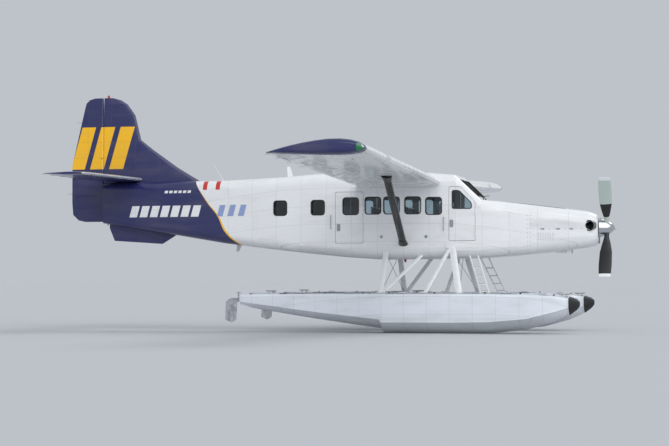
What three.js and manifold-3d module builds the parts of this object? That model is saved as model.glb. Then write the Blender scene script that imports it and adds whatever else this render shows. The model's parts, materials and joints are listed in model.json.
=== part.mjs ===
// A single-engined turbine floatplane with a high strutted wing, parked level on its float keels.
// Millimetres. +X is forward, +Y is the left side, +Z is up, and Z = 0 is the line of the float keels.
// Stations run aft from the spinner tip. Heights run up from the propeller shaft line.
import * as THREE from "three";
import { mergeVertices } from "three/addons/utils/BufferGeometryUtils.js";
import Module from "manifold-3d";

const wasm = await Module();
wasm.setup();

// Driving dimensions
const LENGTH = 13230;
const HALF_SPAN = 8845;
const SHAFT_HEIGHT = 2400;
const SEAM = 0.3;
const WALL = 45;
const PANE = 6;

// Fuselage sections, rounded rectangles.
// Columns: station, bottom, top, half width, top corner radius, bottom corner radius
const FUSELAGE = [
  [365, -350, 250, 270, 200, 190],
  [420, -410, 315, 340, 240, 235],
  [600, -450, 380, 400, 280, 260],
  [1300, -550, 470, 500, 330, 300],
  [1900, -600, 545, 580, 330, 280],
  [2500, -655, 605, 680, 270, 260],
  [3000, -690, 650, 750, 170, 250],
  [3600, -700, 1225, 820, 170, 250],
  [4200, -712, 1285, 825, 210, 250],
  [5400, -720, 1295, 825, 210, 250],
  [6150, -670, 1295, 825, 210, 250],
  [6900, -600, 1285, 820, 220, 250],
  [7700, -510, 1225, 780, 230, 240],
  [8300, -440, 1200, 720, 240, 230],
  [9200, -330, 1170, 600, 250, 220],
  [10600, -100, 1170, 420, 240, 180],
  [12100, 130, 1170, 220, 180, 110],
  [12380, 177, 1166, 178, 150, 95],
];
const COWL_FRONT = 365;
const FIREWALL = 1900;
const SCREEN_FOOT = 3000;
const SCREEN_TOP = 3620;
const CABIN_END = 8300;
const CONE_END = 12380;
const FLOOR = -450;
const ROOF = 1000;
const NOSE_DECK = 380;
const SCREEN_SILL = 560;
const SCREEN_HALF = 640;
const CONE_WALL = 20;
const COWL_WALL = 25;

// Screen openings as sides and heights, and the panes behind them
const SCREEN_OPENING = [[35, 735], [560, 735], [590, 1120], [35, 1120]];
const SCREEN_CORNER = 45;
const SCREEN_PANE = { side: 625, foot: 650 };

// Nose. The exhaust stubs sweep aft, and the chin intake lies under the shaft.
const EXHAUST = { station: 520, side: 345, height: 45, radius: 122, bore: 98, reach: 78, root: 60 };
const EXHAUST_SWEEP = THREE.MathUtils.degToRad(20);
const INTAKE = { half: 130, low: -345, high: -235, corner: 50, rear: 600 };
const SCOOP = { front: 980, rear: 1340, half: 130, rearHalf: 90, top: -470, low: -615, rearLow: -565, wall: 14, depth: 140 };
const ENGINE = { front: 460, gearbox: 620, rear: 1500, gearboxRadius: 170, radius: 240, shaft: 50 };
const ENGINE_MOUNT = { side: 165, height: 150, half: 25 };

// Doors. Each outline is in stations and heights, and the leaf is smaller by the gap.
const DOOR_GAP = 8;
const DOOR_CORNER = 40;
const HINGE_RADIUS = 10;
const HINGE_STAND = 11;
const CREW_DOOR = [[3110, -300], [3720, -300], [3720, 950], [3440, 950], [3110, 600]];
const CREW_WINDOW = [[3195, 440], [3640, 440], [3640, 860], [3470, 860], [3195, 580]];
const CREW_WINDOW_CORNER = 55;
const DOOR_SILL = -350;
const DOOR_HEAD = 850;
const LEFT_DOORWAY = [5265, 6400];
const LEAF_SPLIT = 5755;
const RIGHT_DOORWAY = [5730, 6400];
// Handles stand off the doors on two posts. Each place is a station and a height.
const HANDLE = { half: 55, stand: 30, radius: 8 };
const HANDLES = { crew: [3655, 100], forward: [5685, 20], aft: [5835, 20], right: [6320, 20] };

// Cabin windows. Columns: station of the centre, height of the centre, width, height
const WINDOWS = {
  first: [4070, 505, 380, 400],
  second: [4560, 522, 380, 400],
  third: [5060, 523, 380, 400],
  fourth: [5500, 523, 380, 400],
  fifth: [6030, 515, 380, 400],
  sixth: [6820, 488, 330, 350],
  seventh: [7740, 484, 330, 350],
};
const WINDOW_CORNER = 70;
const GLASS = { front: 3850, rear: 7930, low: 285, high: 925, overDoor: 880, doorGap: 35 };

// Wing, with its root leading edge at the group's origin. Places run aft of the leading edge.
const CHORD = 1980;
const THICKNESS = 0.16;
const CAMBER = 0.03;
const CAMBER_PEAK = 0.4;
const WING_STATION = 3910;
const WING_HEIGHT = 1030;
const DIHEDRAL = THREE.MathUtils.degToRad(2);
const INCIDENCE = THREE.MathUtils.degToRad(2);
// Columns: distance out, share of the chord, share of the thickness
const WING_SECTIONS = [
  [450, 1, 1],
  [8680, 1, 1],
  [8780, 0.985, 0.9],
  [8828, 0.96, 0.66],
  [HALF_SPAN, 0.93, 0.35],
];
// Hinged strips on the trailing edge, each turning about a pivot below the wing
const STRIPS = [
  { name: "flap", inner: 900, outer: 5180, pivot: [1600, -135], nose: 257, arms: [1650, 3200, 4800] },
  { name: "aileron", inner: 5225, outer: 8560, pivot: [1640, -82], nose: 189, arms: [5620, 6750, 8150] },
];
const SLOT = 12;
const STRIP_END_GAP = 10;
const ARM = 14;
const PIN_GAP = 0.35;
// Pitot head under the left wing. Its mast is under the leading edge, and its tube points forward.
const PITOT = { out: 5450, mast: [180, 250], drop: 140, tube: [-150, 290], radius: 13, half: 8 };

// Tail
const RUDDER_HINGE = 12450;
const ELEVATOR_HINGE = 12250;
const HINGE_GAP = 8;
const LUG = 16;
const LUG_RADIUS = 22;
const TAILPLANE_HEIGHT = 1240;
// Columns: height, leading edge station, half thickness
const FIN = [
  [1080, 9800, 50],
  [1200, 9980, 50],
  [1340, 10220, 50],
  [1520, 10520, 49],
  [1950, 11130, 46],
  [2200, 11450, 44],
  [2500, 11525, 42],
  [2800, 11600, 40],
  [3070, 11790, 37],
  [3180, 11960, 32],
  [3240, 12170, 22],
];
// Columns: height, trailing edge station, nose radius
const RUDDER = [
  [215, 12880, 40],
  [255, 13060, 46],
  [390, 13205, 50],
  [700, 13230, 50],
  [1600, 13230, 48],
  [2300, 13065, 44],
  [3000, 12900, 38],
  [3120, 12865, 34],
  [3200, 12780, 30],
  [3240, 12640, 22],
];
// Columns: distance out, leading edge station, half thickness
const TAILPLANE = [
  [20, 11400, 65],
  [2900, 11690, 48],
  [3150, 11740, 40],
  [3230, 11830, 26],
];
// Columns: distance out, trailing edge station, nose radius
const ELEVATOR = [
  [100, 12850, 50],
  [2900, 12740, 38],
  [3150, 12720, 32],
  [3230, 12650, 22],
];
const RUDDER_LUGS = [520, 1750, 2850];
const ELEVATOR_LUGS = [520, 1700, 2850];
const VENTRAL_FIN = [[10450, -60], [10900, -330], [12120, -250], [12250, 60], [12250, 200]];
const VENTRAL_HALF = 18;
// The elevators are cut back here so that the rudder can swing. Columns: station, side
const RUDDER_ROOM = [[12100, 0], [12100, 120], [12250, 120], [12900, 445], [12900, 0]];
const TAIL_EDGE = 4;

// Floats. Columns: station, half width, deck, chine, keel
const FLOAT_SIDE = 1550;
const FLOAT_SECTIONS = [
  [650, 60, -1705, -1735, -1770],
  [700, 150, -1660, -1760, -1850],
  [850, 245, -1612, -1805, -1965],
  [1200, 360, -1560, -1910, -2130],
  [1800, 450, -1530, -2060, -2300],
  [2600, 480, -1520, -2130, -2390],
  [3000, 480, -1520, -2145, -2400],
  [5080, 480, -1520, -2150, -2400],
  [5095, 470, -1520, -2090, -2300],
  [6600, 360, -1520, -1930, -2090],
  [8000, 175, -1530, -1760, -1870],
  [8480, 70, -1550, -1700, -1780],
];
const KEEL_HALF = 30;
const DECK_CROWN = 25;
const DECK_EDGE = 40;
const FLARE = { out: 0.6, rise: 0.42 };
const BUMPER = { rear: 860, thickness: 14 };

// Water rudders behind the sterns
const WATER_POST = 8530;
const WATER_LUGS = [-1600, -1720];
const WATER_LUG_DEPTH = 14;
const WATER_LUG_RADIUS = 24;
const WATER_LUG_ROOT = 8400;
const WATER_PIN = 18;
const WATER_BLADE = [[8530, -1620], [8720, -1620], [8830, -1700], [8850, -2120], [8700, -2180], [8585, -2120],
  [8562, -1700], [8530, -1700]];
const WATER_BLADE_HALF = 7;

// Float struts. The front pair and the rear pair each run from the fuselage to the decks.
const STRUT_SIDE = 1420;
const TOP_SIDE = 770;
const STRUT_FEET = -1560;
const FOOT_STATIONS = { front: 3370, frontBrace: 4200, rear: 5200 };
const FOOT_PLATE = { along: 95, out: 65, low: -1540, high: -1480 };
const FRONT_FAIRING = [[3545, 3790], [TOP_SIDE, 845], [-470, -330]];
const MAIN_STRUT = [150, 56];
const REAR_STRUT = [130, 52];
const BRACE = [90, 40];
const SPREADER = { height: -1640, chord: 120, thickness: 48, stations: { front: 3370, rear: 5200 } };

// Boarding ladders. A rail runs from its top to its foot, given as station, side and height.
const LADDER = { top: [3150, 730, -640], foot: [2780, 1330, -1570], half: 95, rail: [34, 26], rung: [22, 11],
  rungs: [0.3, 0.5, 0.7, 0.88] };

// Propeller, blades feathered. Columns of the blade: radius, chord, thickness
const BLADE_STATION = 175;
const BLADE_ANGLES = [30, 150, 270];
const BLADE = [
  [60, 110, 110],
  [250, 112, 105],
  [420, 200, 62],
  [650, 285, 42],
  [1000, 300, 30],
  [1230, 280, 20],
  [1300, 250, 14],
];
const BLADE_TWIST = THREE.MathUtils.degToRad(14);
const HUB = { front: 75, drumRear: 290, radius: 92, rear: 352.7 };
// Columns: radius, station
const SPINNER = [[0, 0], [60, 22], [110, 70], [158, 140], [192, 215], [213, 290], [220, 345], [0, 345]];

// Colours, one shared material for each finish
const WHITE = 0xeef0f2;
const NAVY = 0x1b2450;
const paint = (color, roughness = 0.35, metalness = 0) => (
  new THREE.MeshStandardMaterial({ color, roughness, metalness })
);
const whitePaint = paint(WHITE);
const navyPaint = paint(NAVY);
const blackPaint = paint(0x15161a);
const floatPaint = paint(0xd9dde0, 0.4);
const metal = paint(0xa8acb0, 0.35, 1);
const ironwork = paint(0x3a3b3e, 0.6, 0.6);
const upholstery = paint(0x3b4150, 0.9);
const panelBlack = paint(0x1c1d20, 0.7);
const rubber = paint(0x222325, 0.8);
const acrylic = new THREE.MeshStandardMaterial({
  color: 0x8fa3ad, roughness: 0.1, metalness: 0, transparent: true, opacity: 0.35,
});

// Places
const xAt = (station) => LENGTH / 2 - station;
const zAt = (height) => SHAFT_HEIGHT + height;
const place = (station, side, height) => new THREE.Vector3(xAt(station), side, zAt(height));

// Turns a closed geometry into a solid with its faces pointing out
function solid(geometry) {
  const bare = geometry.clone();
  bare.deleteAttribute("normal");
  bare.deleteAttribute("uv");
  const merged = mergeVertices(bare, 1e-4);
  const points = new Float32Array(merged.attributes.position.array);
  const faces = new Uint32Array(merged.index.array);
  const corner = [0, 1, 2].map(() => new THREE.Vector3());
  let volume = 0;
  for (let f = 0; f < faces.length; f += 3) {
    corner.forEach((c, k) => c.fromArray(points, 3 * faces[f + k]));
    volume += corner[0].dot(corner[1].cross(corner[2]));
  }
  if (volume < 0) {
    for (let f = 0; f < faces.length; f += 3) {
      [faces[f], faces[f + 1]] = [faces[f + 1], faces[f]];
    }
  }
  return new wasm.Manifold(new wasm.Mesh({ numProp: 3, vertProperties: points, triVerts: faces }));
}

function surface(body) {
  const mesh = body.getMesh();
  const geometry = new THREE.BufferGeometry();
  geometry.setAttribute("position", new THREE.BufferAttribute(mesh.vertProperties, 3));
  geometry.setIndex(new THREE.BufferAttribute(mesh.triVerts, 1));
  geometry.computeVertexNormals();
  return geometry;
}

const union = (bodies) => bodies.reduce((all, body) => all.add(body));
const cut = (body, tools) => tools.reduce((left, tool) => left.subtract(tool), body);
const moved = (body, x, y, z) => solid(surface(body).translate(x, y, z));
const mirrored = (body) => solid(surface(body).scale(1, -1, 1));
const turned = (body, matrix) => solid(surface(body).applyMatrix4(matrix));

// Skins a row of closed rings that have the same number of points, and closes both ends
function loft(rings) {
  const count = rings[0].length;
  const points = rings.flat();
  const faces = [];
  for (let r = 0; r + 1 < rings.length; r += 1) {
    for (let i = 0; i < count; i += 1) {
      const a = r * count + i;
      const b = r * count + ((i + 1) % count);
      faces.push(a, b, b + count, a, b + count, a + count);
    }
  }
  [[0, 1], [rings.length - 1, -1]].forEach(([r, turn]) => {
    const middle = rings[r].reduce((sum, p) => sum.add(p), new THREE.Vector3()).divideScalar(count);
    const hub = points.push(middle) - 1;
    for (let i = 0; i < count; i += 1) {
      const a = r * count + i;
      const b = r * count + ((i + 1) % count);
      faces.push(...(turn > 0 ? [b, a, hub] : [a, b, hub]));
    }
  });
  const geometry = new THREE.BufferGeometry().setFromPoints(points);
  geometry.setIndex(faces);
  return solid(geometry);
}

// An outline extruded along one axis of the aircraft, from one place to another
const ACROSS = new THREE.Matrix4().makeBasis(
  new THREE.Vector3(1, 0, 0), new THREE.Vector3(0, 0, 1), new THREE.Vector3(0, -1, 0));
const ALONG = new THREE.Matrix4().makeBasis(
  new THREE.Vector3(0, 1, 0), new THREE.Vector3(0, 0, 1), new THREE.Vector3(1, 0, 0));
const extrude = (points, depth) => new THREE.ExtrudeGeometry(
  new THREE.Shape(points.map(([a, b]) => new THREE.Vector2(a, b))), { depth, bevelEnabled: false });

function sidePrism(outline, inner, outer) {
  const points = outline.map(([station, height]) => [xAt(station), zAt(height)]);
  return solid(extrude(points, outer - inner).applyMatrix4(ACROSS).translate(0, outer, 0));
}

function planPrism(outline, low, high) {
  const points = outline.map(([station, side]) => [xAt(station), side]);
  return solid(extrude(points, high - low).translate(0, 0, zAt(low)));
}

function frontPrism(outline, front, rear) {
  const points = outline.map(([side, height]) => [side, zAt(height)]);
  return solid(extrude(points, rear - front).applyMatrix4(ALONG).translate(xAt(rear), 0, 0));
}

function block([front, rear], [inner, outer], [low, high]) {
  const box = new THREE.BoxGeometry(rear - front, outer - inner, high - low);
  return solid(box.translate(xAt((front + rear) / 2), (inner + outer) / 2, zAt((low + high) / 2)));
}

function upright(station, side, [low, high], radius, sides = 16) {
  const post = new THREE.CylinderGeometry(radius, radius, high - low, sides).rotateX(Math.PI / 2);
  return solid(post.translate(xAt(station), side, zAt((low + high) / 2)));
}

function shaft([front, rear], radius, sides = 24) {
  const rod = new THREE.CylinderGeometry(radius, radius, rear - front, sides).rotateZ(Math.PI / 2);
  return solid(rod.translate(xAt((front + rear) / 2), 0, zAt(0)));
}

// An outline with each of its edges moved inwards
function inset(outline, distance) {
  const count = outline.length;
  const area = outline.reduce((sum, [x, y], i) => {
    const [nx, ny] = outline[(i + 1) % count];
    return sum + x * ny - nx * y;
  }, 0);
  const turn = Math.sign(area) * distance;
  const edges = outline.map(([x, y], i) => {
    const [nx, ny] = outline[(i + 1) % count];
    const size = Math.hypot(nx - x, ny - y);
    const [dx, dy] = [(nx - x) / size, (ny - y) / size];
    return { x: x - dy * turn, y: y + dx * turn, dx, dy };
  });
  return edges.map((edge, i) => {
    const before = edges[(i + count - 1) % count];
    const cross = before.dx * edge.dy - before.dy * edge.dx;
    const t = ((edge.x - before.x) * edge.dy - (edge.y - before.y) * edge.dx) / cross;
    return [before.x + before.dx * t, before.y + before.dy * t];
  });
}

// An outline with its corners rounded by short curves
function rounded(outline, radius, steps = 3) {
  const count = outline.length;
  return outline.flatMap((corner, i) => {
    const here = new THREE.Vector2(...corner);
    const before = new THREE.Vector2(...outline[(i + count - 1) % count]).sub(here);
    const after = new THREE.Vector2(...outline[(i + 1) % count]).sub(here);
    const reach = Math.min(radius, before.length() / 2.1, after.length() / 2.1);
    const bend = new THREE.QuadraticBezierCurve(
      here.clone().add(before.setLength(reach)), here, here.clone().add(after.setLength(reach)));
    return bend.getPoints(steps).map((p) => [p.x, p.y]);
  });
}

const rectangle = ([left, right], [low, high]) => [[left, low], [right, low], [right, high], [left, high]];
const pane = ([station, height, width, tall]) => rounded(rectangle(
  [station - width / 2, station + width / 2], [height - tall / 2, height + tall / 2]), WINDOW_CORNER);

// A streamlined bar between two places, its chord lying fore and aft
function bar(from, to, chord, thickness) {
  const way = to.clone().sub(from);
  const fore = new THREE.Vector3(1, 0, 0).projectOnPlane(way.clone().normalize()).normalize();
  const side = way.clone().normalize().cross(fore);
  const outline = [[0.5, 0], [0.42, 0.3], [0.2, 0.5], [-0.1, 0.42], [-0.5, 0.06],
    [-0.5, -0.06], [-0.1, -0.42], [0.2, -0.5], [0.42, -0.3]];
  const points = outline.map(([a, b]) => [a * chord, b * thickness]);
  const turn = new THREE.Matrix4().makeBasis(fore, side, way.clone().normalize()).setPosition(from);
  return solid(extrude(points, way.length()).applyMatrix4(turn));
}

// Fuselage
function rowAt(station) {
  const next = Math.max(1, FUSELAGE.findIndex((row) => row[0] >= station));
  const [before, after] = [FUSELAGE[next - 1], FUSELAGE[next]];
  const share = (station - before[0]) / (after[0] - before[0]);
  return before.map((value, i) => value + share * (after[i] - value));
}

function sectionRing([station, bottom, top, half, topRadius, bottomRadius], shrink) {
  const quarter = 5;
  const corners = [
    [1, 1, top, topRadius], [-1, 1, top, topRadius], [-1, -1, bottom, bottomRadius], [1, -1, bottom, bottomRadius]];
  return corners.flatMap(([side, up, edge, radius], q) => {
    const round = radius - shrink;
    return Array.from({ length: quarter + 1 }, (_, i) => {
      const angle = (Math.PI / 2) * (q + i / quarter);
      const y = side * (half - radius) + round * Math.cos(angle);
      const z = edge - up * radius + round * Math.sin(angle);
      return place(station, y, z);
    });
  });
}

function hull(front, rear, shrink = 0) {
  const between = FUSELAGE.filter(([station]) => station > front && station < rear);
  const rows = [rowAt(front), ...between, rowAt(rear)];
  return loft(rows.map((row) => sectionRing(row, shrink)));
}

const FAR = 3000;
const wholeFuselage = hull(COWL_FRONT, CONE_END, -SEAM);
const cabinSkin = hull(FIREWALL, CABIN_END).subtract(hull(FIREWALL - 20, CABIN_END + 20, WALL));
const sheet = (depth) => hull(FIREWALL, CABIN_END, depth).subtract(hull(FIREWALL - 20, CABIN_END + 20, depth + PANE));

const aircraft = new THREE.Group();
function add(name, body, material, parent = aircraft) {
  const mesh = new THREE.Mesh(surface(body), material);
  mesh.name = name;
  parent.add(mesh);
  return mesh;
}

// Adds a left piece and its mirror image, each under the name of its side
function addPair(name, body, material) {
  add(`${name}_left`, body, material);
  add(`${name}_right`, mirrored(body), material);
}

// Nose: cowling with a chin intake, a scoop under it, exhaust stubs, and the engine on its firewall
const PAST = 10;
function exhaustTube(radius, inward, outward) {
  const tube = new THREE.CylinderGeometry(radius, radius, outward + inward, 28);
  const mouth = place(EXHAUST.station, EXHAUST.side, EXHAUST.height);
  return solid(tube.translate(0, (outward - inward) / 2, 0).rotateZ(EXHAUST_SWEEP).translate(...mouth));
}

function cowling() {
  const inside = hull(COWL_FRONT + WALL, FIREWALL + PAST, COWL_WALL);
  const opening = rounded(rectangle([-INTAKE.half, INTAKE.half], [INTAKE.low, INTAKE.high]), INTAKE.corner);
  const shaftHole = shaft([COWL_FRONT - PAST, ENGINE.front], 1.5 * ENGINE.shaft);
  const bore = exhaustTube(EXHAUST.bore - 6, EXHAUST.root + 20, EXHAUST.reach + 20);
  return cut(hull(COWL_FRONT, FIREWALL - SEAM), [
    inside, frontPrism(opening, COWL_FRONT - PAST, INTAKE.rear), shaftHole, bore, mirrored(bore)]);
}

function exhaust() {
  const tube = exhaustTube(EXHAUST.radius, EXHAUST.root, EXHAUST.reach);
  return cut(tube, [exhaustTube(EXHAUST.bore, EXHAUST.root + 30, EXHAUST.reach + 20), wholeFuselage]);
}

function oilCoolerScoop() {
  const { front, rear, half, rearHalf, top, low, rearLow, wall: sheetWall, depth } = SCOOP;
  const body = planPrism([[front, -half], [front, half], [rear, rearHalf], [rear, -rearHalf]], low, top);
  const rise = sidePrism([[front, low - PAST], [rear + PAST, low - PAST], [rear + PAST, rearLow], [front, low]], -FAR, FAR);
  const mouth = block([front - PAST, front + depth], [sheetWall - half, half - sheetWall], [low + 2 * sheetWall, top]);
  return cut(body, [rise, mouth, wholeFuselage]);
}

function engine() {
  const drum = shaft([ENGINE.gearbox, ENGINE.rear], ENGINE.radius);
  const gearbox = shaft([ENGINE.front, ENGINE.gearbox], ENGINE.gearboxRadius);
  const output = shaft([HUB.rear + SEAM, ENGINE.front], ENGINE.shaft);
  const { side, height, half } = ENGINE_MOUNT;
  const mounts = [[-1, -1], [-1, 1], [1, -1], [1, 1]].map(([across, up]) => block(
    [ENGINE.rear - 50, FIREWALL + PAST], [across * side - half, across * side + half], [up * height - half, up * height + half]));
  const plate = hull(FIREWALL + 5, FIREWALL + 30, WALL + SEAM)
    .intersect(block([FIREWALL, FIREWALL + WALL], [-FAR, FAR], [FLOOR + SEAM, FAR]));
  return union([drum, gearbox, output, plate, ...mounts]);
}

add("cowling", cowling(), whitePaint);
addPair("exhaust", exhaust(), metal);
add("oil_cooler_scoop", oilCoolerScoop(), whitePaint);
add("engine", engine(), ironwork);

// Propeller: hub, shaft and three blades in one piece, with the spinner over the hub
function blade(angle, grow = 0, reach = BLADE.length) {
  const sides = 14;
  const rings = BLADE.slice(0, reach).map(([radius, chord, thickness]) => {
    const twist = BLADE_TWIST * (1 - radius / BLADE.at(-1)[0]);
    return Array.from({ length: sides }, (_, i) => {
      const a = (2 * Math.PI * i) / sides;
      const along = (chord / 2 + grow) * Math.cos(a);
      const across = (thickness / 2 + grow) * Math.sin(a);
      return new THREE.Vector3(
        along * Math.cos(twist) - across * Math.sin(twist),
        along * Math.sin(twist) + across * Math.cos(twist),
        radius);
    });
  });
  const turn = new THREE.Matrix4().makeRotationX(THREE.MathUtils.degToRad(angle));
  return turned(loft(rings), turn.setPosition(place(BLADE_STATION, 0, 0)));
}

function hub(grow) {
  const drum = shaft([HUB.front - grow, HUB.drumRear + grow], HUB.radius + grow);
  return drum.add(shaft([HUB.front, HUB.rear], ENGINE.shaft + grow));
}

function spinner() {
  const cone = new THREE.LatheGeometry(SPINNER.map(([radius, station]) => new THREE.Vector2(radius, -station)), 36);
  const body = solid(cone.rotateZ(-Math.PI / 2).translate(xAt(0), 0, zAt(0)));
  return cut(body, [hub(SEAM), ...BLADE_ANGLES.map((angle) => blade(angle, SEAM, 3))]);
}

add("propeller", union([hub(0), ...BLADE_ANGLES.map((angle) => blade(angle))]), blackPaint);
add("spinner", spinner(), metal);

// Cabin: panels cut from one skin, as thick as a whole wall
const noseDeckSpace = [[FIREWALL - 10, SCREEN_FOOT - SEAM], [-FAR, FAR], [NOSE_DECK, FAR]];
const screenSpace = [[SCREEN_FOOT, SCREEN_TOP], [-SCREEN_HALF, SCREEN_HALF], [SCREEN_SILL, FAR]];
const roofSpace = [[SCREEN_TOP + SEAM, CABIN_END + 10], [-FAR, FAR], [ROOF, FAR]];
const widened = (space) => space.map(([low, high]) => [low - SEAM, high + SEAM]);

function screenFrame() {
  const opening = frontPrism(rounded(SCREEN_OPENING, SCREEN_CORNER), SCREEN_FOOT, SCREEN_TOP + WALL);
  return cut(cabinSkin.intersect(block(...screenSpace)), [opening, mirrored(opening)]);
}

const crewDoorway = sidePrism(rounded(CREW_DOOR, DOOR_CORNER), 0, FAR);
const cabinDoorway = ([front, rear]) => (
  sidePrism(rounded(rectangle([front, rear], [DOOR_SILL, DOOR_HEAD]), DOOR_CORNER), 0, FAR));

// Hinge straps and knuckles. A door has one of each at every height, and the wall has them above it.
const HINGES = {
  crew: { station: 3114, aft: 1, heights: [-180, 300] },
  forward: { station: LEFT_DOORWAY[0] + DOOR_GAP / 2, aft: 1, heights: [-230, 130, 720] },
  aft: { station: LEFT_DOORWAY[1] - DOOR_GAP / 2, aft: -1, heights: [-230, 130, 720] },
  right: { station: RIGHT_DOORWAY[0] + DOOR_GAP / 2, aft: 1, heights: [-230, 130, 720] },
};
const KNUCKLE = 60;
const STRAP = 62;
const STRAP_PROUD = 6;
const strapSkin = hull(SCREEN_FOOT + 50, 7000, -STRAP_PROUD).subtract(hull(SCREEN_FOOT + 50, 7000, 2));

function knuckles({ station, aft, heights }, onDoor) {
  const side = rowAt(station)[3] + HINGE_STAND;
  const way = onDoor ? aft : -aft;
  const rise = onDoor ? 0 : KNUCKLE + PIN_GAP;
  const ends = [station, station + way * STRAP].sort((a, b) => a - b);
  return heights.flatMap((height) => {
    const span = [height + rise, height + rise + KNUCKLE];
    return [upright(station, side, span, HINGE_RADIUS), strapSkin.intersect(block(ends, [0, FAR], span))];
  });
}

// A handle: an upright bar that two posts hold off the door
function handle([station, height]) {
  const { half, stand, radius } = HANDLE;
  const side = rowAt(station)[3];
  const posts = [-1, 1].map((end) => block([station - radius, station + radius],
    [side - radius, side + stand], [height + end * half - radius, height + end * half + radius]));
  return [upright(station, side + stand, [height - half - radius, height + half + radius], radius, 12), ...posts];
}

function leaf(outline, name, window) {
  const body = cabinSkin.intersect(sidePrism(rounded(inset(outline, DOOR_GAP), DOOR_CORNER), 0, FAR));
  return union([body, ...knuckles(HINGES[name], true), ...handle(HANDLES[name])]).subtract(sidePrism(window, 0, FAR));
}

function wall(doorways, hinges, windows) {
  const skin = cabinSkin.intersect(block([FIREWALL - 10, CABIN_END + 10], [0, FAR], [FLOOR, FAR]));
  const others = [noseDeckSpace, screenSpace, roofSpace].map((space) => block(...widened(space)));
  const holes = windows.map((window) => sidePrism(pane(WINDOWS[window]), 0, FAR));
  const panel = cut(skin, [...others, ...doorways, ...holes]);
  return union([panel, ...hinges.flatMap((hinge) => knuckles(HINGES[hinge], false))]);
}

const crewWindow = rounded(CREW_WINDOW, CREW_WINDOW_CORNER);
const leftWindows = ["first", "second", "third", "sixth", "seventh"];
const rightWindows = [...leftWindows, "fourth"];

add("nose_deck", cabinSkin.intersect(block(...noseDeckSpace)), whitePaint);
add("windscreen_frame", screenFrame(), whitePaint);
add("cabin_roof", cabinSkin.intersect(block(...roofSpace)), whitePaint);
add("cabin_floor", hull(FIREWALL, CABIN_END).intersect(
  block([FIREWALL - 10, CABIN_END + 10], [-FAR, FAR], [-FAR, FLOOR - SEAM])), whitePaint);
add("cabin_wall_left", wall(
  [crewDoorway, cabinDoorway(LEFT_DOORWAY)], ["crew", "forward", "aft"], leftWindows), whitePaint);
add("cabin_wall_right", mirrored(wall(
  [crewDoorway, cabinDoorway(RIGHT_DOORWAY)], ["crew", "right"], rightWindows)), whitePaint);
add("rear_bulkhead", hull(CABIN_END - 40, CABIN_END - 10, WALL + SEAM).intersect(
  block([CABIN_END - 50, CABIN_END], [-FAR, FAR], [FLOOR + SEAM, FAR])), whitePaint);

// Windscreen and cabin glazing lie against the inside of the skin. Door panes sit in their frames.
const glazing = sheet(WALL + SEAM);
add("windscreen", glazing.intersect(block(
  [SCREEN_FOOT, SCREEN_TOP - 10], [-SCREEN_PANE.side, SCREEN_PANE.side], [SCREEN_PANE.foot, FAR])), acrylic);

// One strip of glazing with a notch over the doorway
function cabinGlass([doorFront, doorRear], name, flip) {
  const { front, rear, low, high, overDoor, doorGap } = GLASS;
  const notch = [doorFront - doorGap, doorRear + doorGap];
  const outline = [[front, low], [notch[0], low], [notch[0], overDoor], [notch[1], overDoor], [notch[1], low],
    [rear, low], [rear, high], [front, high]];
  const body = glazing.intersect(sidePrism(outline, 0, FAR));
  add(name, flip ? mirrored(body) : body, acrylic);
}

cabinGlass(LEFT_DOORWAY, "cabin_glass_left", false);
cabinGlass(RIGHT_DOORWAY, "cabin_glass_right", true);

const doorSheet = sheet(16);
const doorPane = (outline) => doorSheet.intersect(sidePrism(inset(outline, SEAM), 0, FAR));
addPair("crew_door", leaf(CREW_DOOR, "crew", crewWindow), whitePaint);
addPair("crew_door_pane", doorPane(crewWindow), acrylic);

// The two leaves of the left doorway meet with a gap a little narrower than at the frame
const LEAF_LAP = 3;
const forwardLeaf = rectangle([LEFT_DOORWAY[0], LEAF_SPLIT + LEAF_LAP], [DOOR_SILL, DOOR_HEAD]);
const aftLeaf = rectangle([LEAF_SPLIT - LEAF_LAP, LEFT_DOORWAY[1]], [DOOR_SILL, DOOR_HEAD]);
const rightLeaf = rectangle(RIGHT_DOORWAY, [DOOR_SILL, DOOR_HEAD]);
add("cabin_door_forward", leaf(forwardLeaf, "forward", pane(WINDOWS.fourth)), whitePaint);
add("cabin_door_forward_pane", doorPane(pane(WINDOWS.fourth)), acrylic);
add("cabin_door_aft", leaf(aftLeaf, "aft", pane(WINDOWS.fifth)), whitePaint);
add("cabin_door_aft_pane", doorPane(pane(WINDOWS.fifth)), acrylic);
add("cabin_door_right", mirrored(leaf(rightLeaf, "right", pane(WINDOWS.fifth))), whitePaint);
add("cabin_door_right_pane", mirrored(doorPane(pane(WINDOWS.fifth))), acrylic);

// Cabin fittings that show through the glass
const SEAT_SIDE = 360;
const CREW_ROW = 3420;
const CABIN_ROWS = [4300, 5080, 6850];
const FLOOR_TOP = FLOOR + SEAM;
const RAIL = { half: 20, height: 25 };
const SEAT_LENGTH = 500;
// Each block of a seat: places aft of its front, half width, heights
const SEAT = {
  cushion: [[0, 480], 225, [-130, -10]],
  back: [[430, 530], 225, [-60, 520]],
  pedestal: [[120, 380], 150, [FLOOR_TOP, -100]],
};
// Each block of the panel: stations, half width, heights
const PANEL = {
  face: [[3075, 3115], 620, [40, 590]],
  hood: [[3020, 3160], 600, [560, 590]],
  pedestal: [[3080, 3230], 110, [FLOOR_TOP, 60]],
};

function seatRow(front) {
  return [1, -1].flatMap((side) => Object.values(SEAT).map(([aft, half, heights]) => block(
    aft.map((behind) => front + behind), [side * SEAT_SIDE - half, side * SEAT_SIDE + half], heights)));
}

function crossBeam(front) {
  return block([front + 200, front + 250], [-SEAT_SIDE, SEAT_SIDE], [FLOOR_TOP, FLOOR_TOP + RAIL.height]);
}

const crewSeats = () => union([...seatRow(CREW_ROW), crossBeam(CREW_ROW)]);

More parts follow.
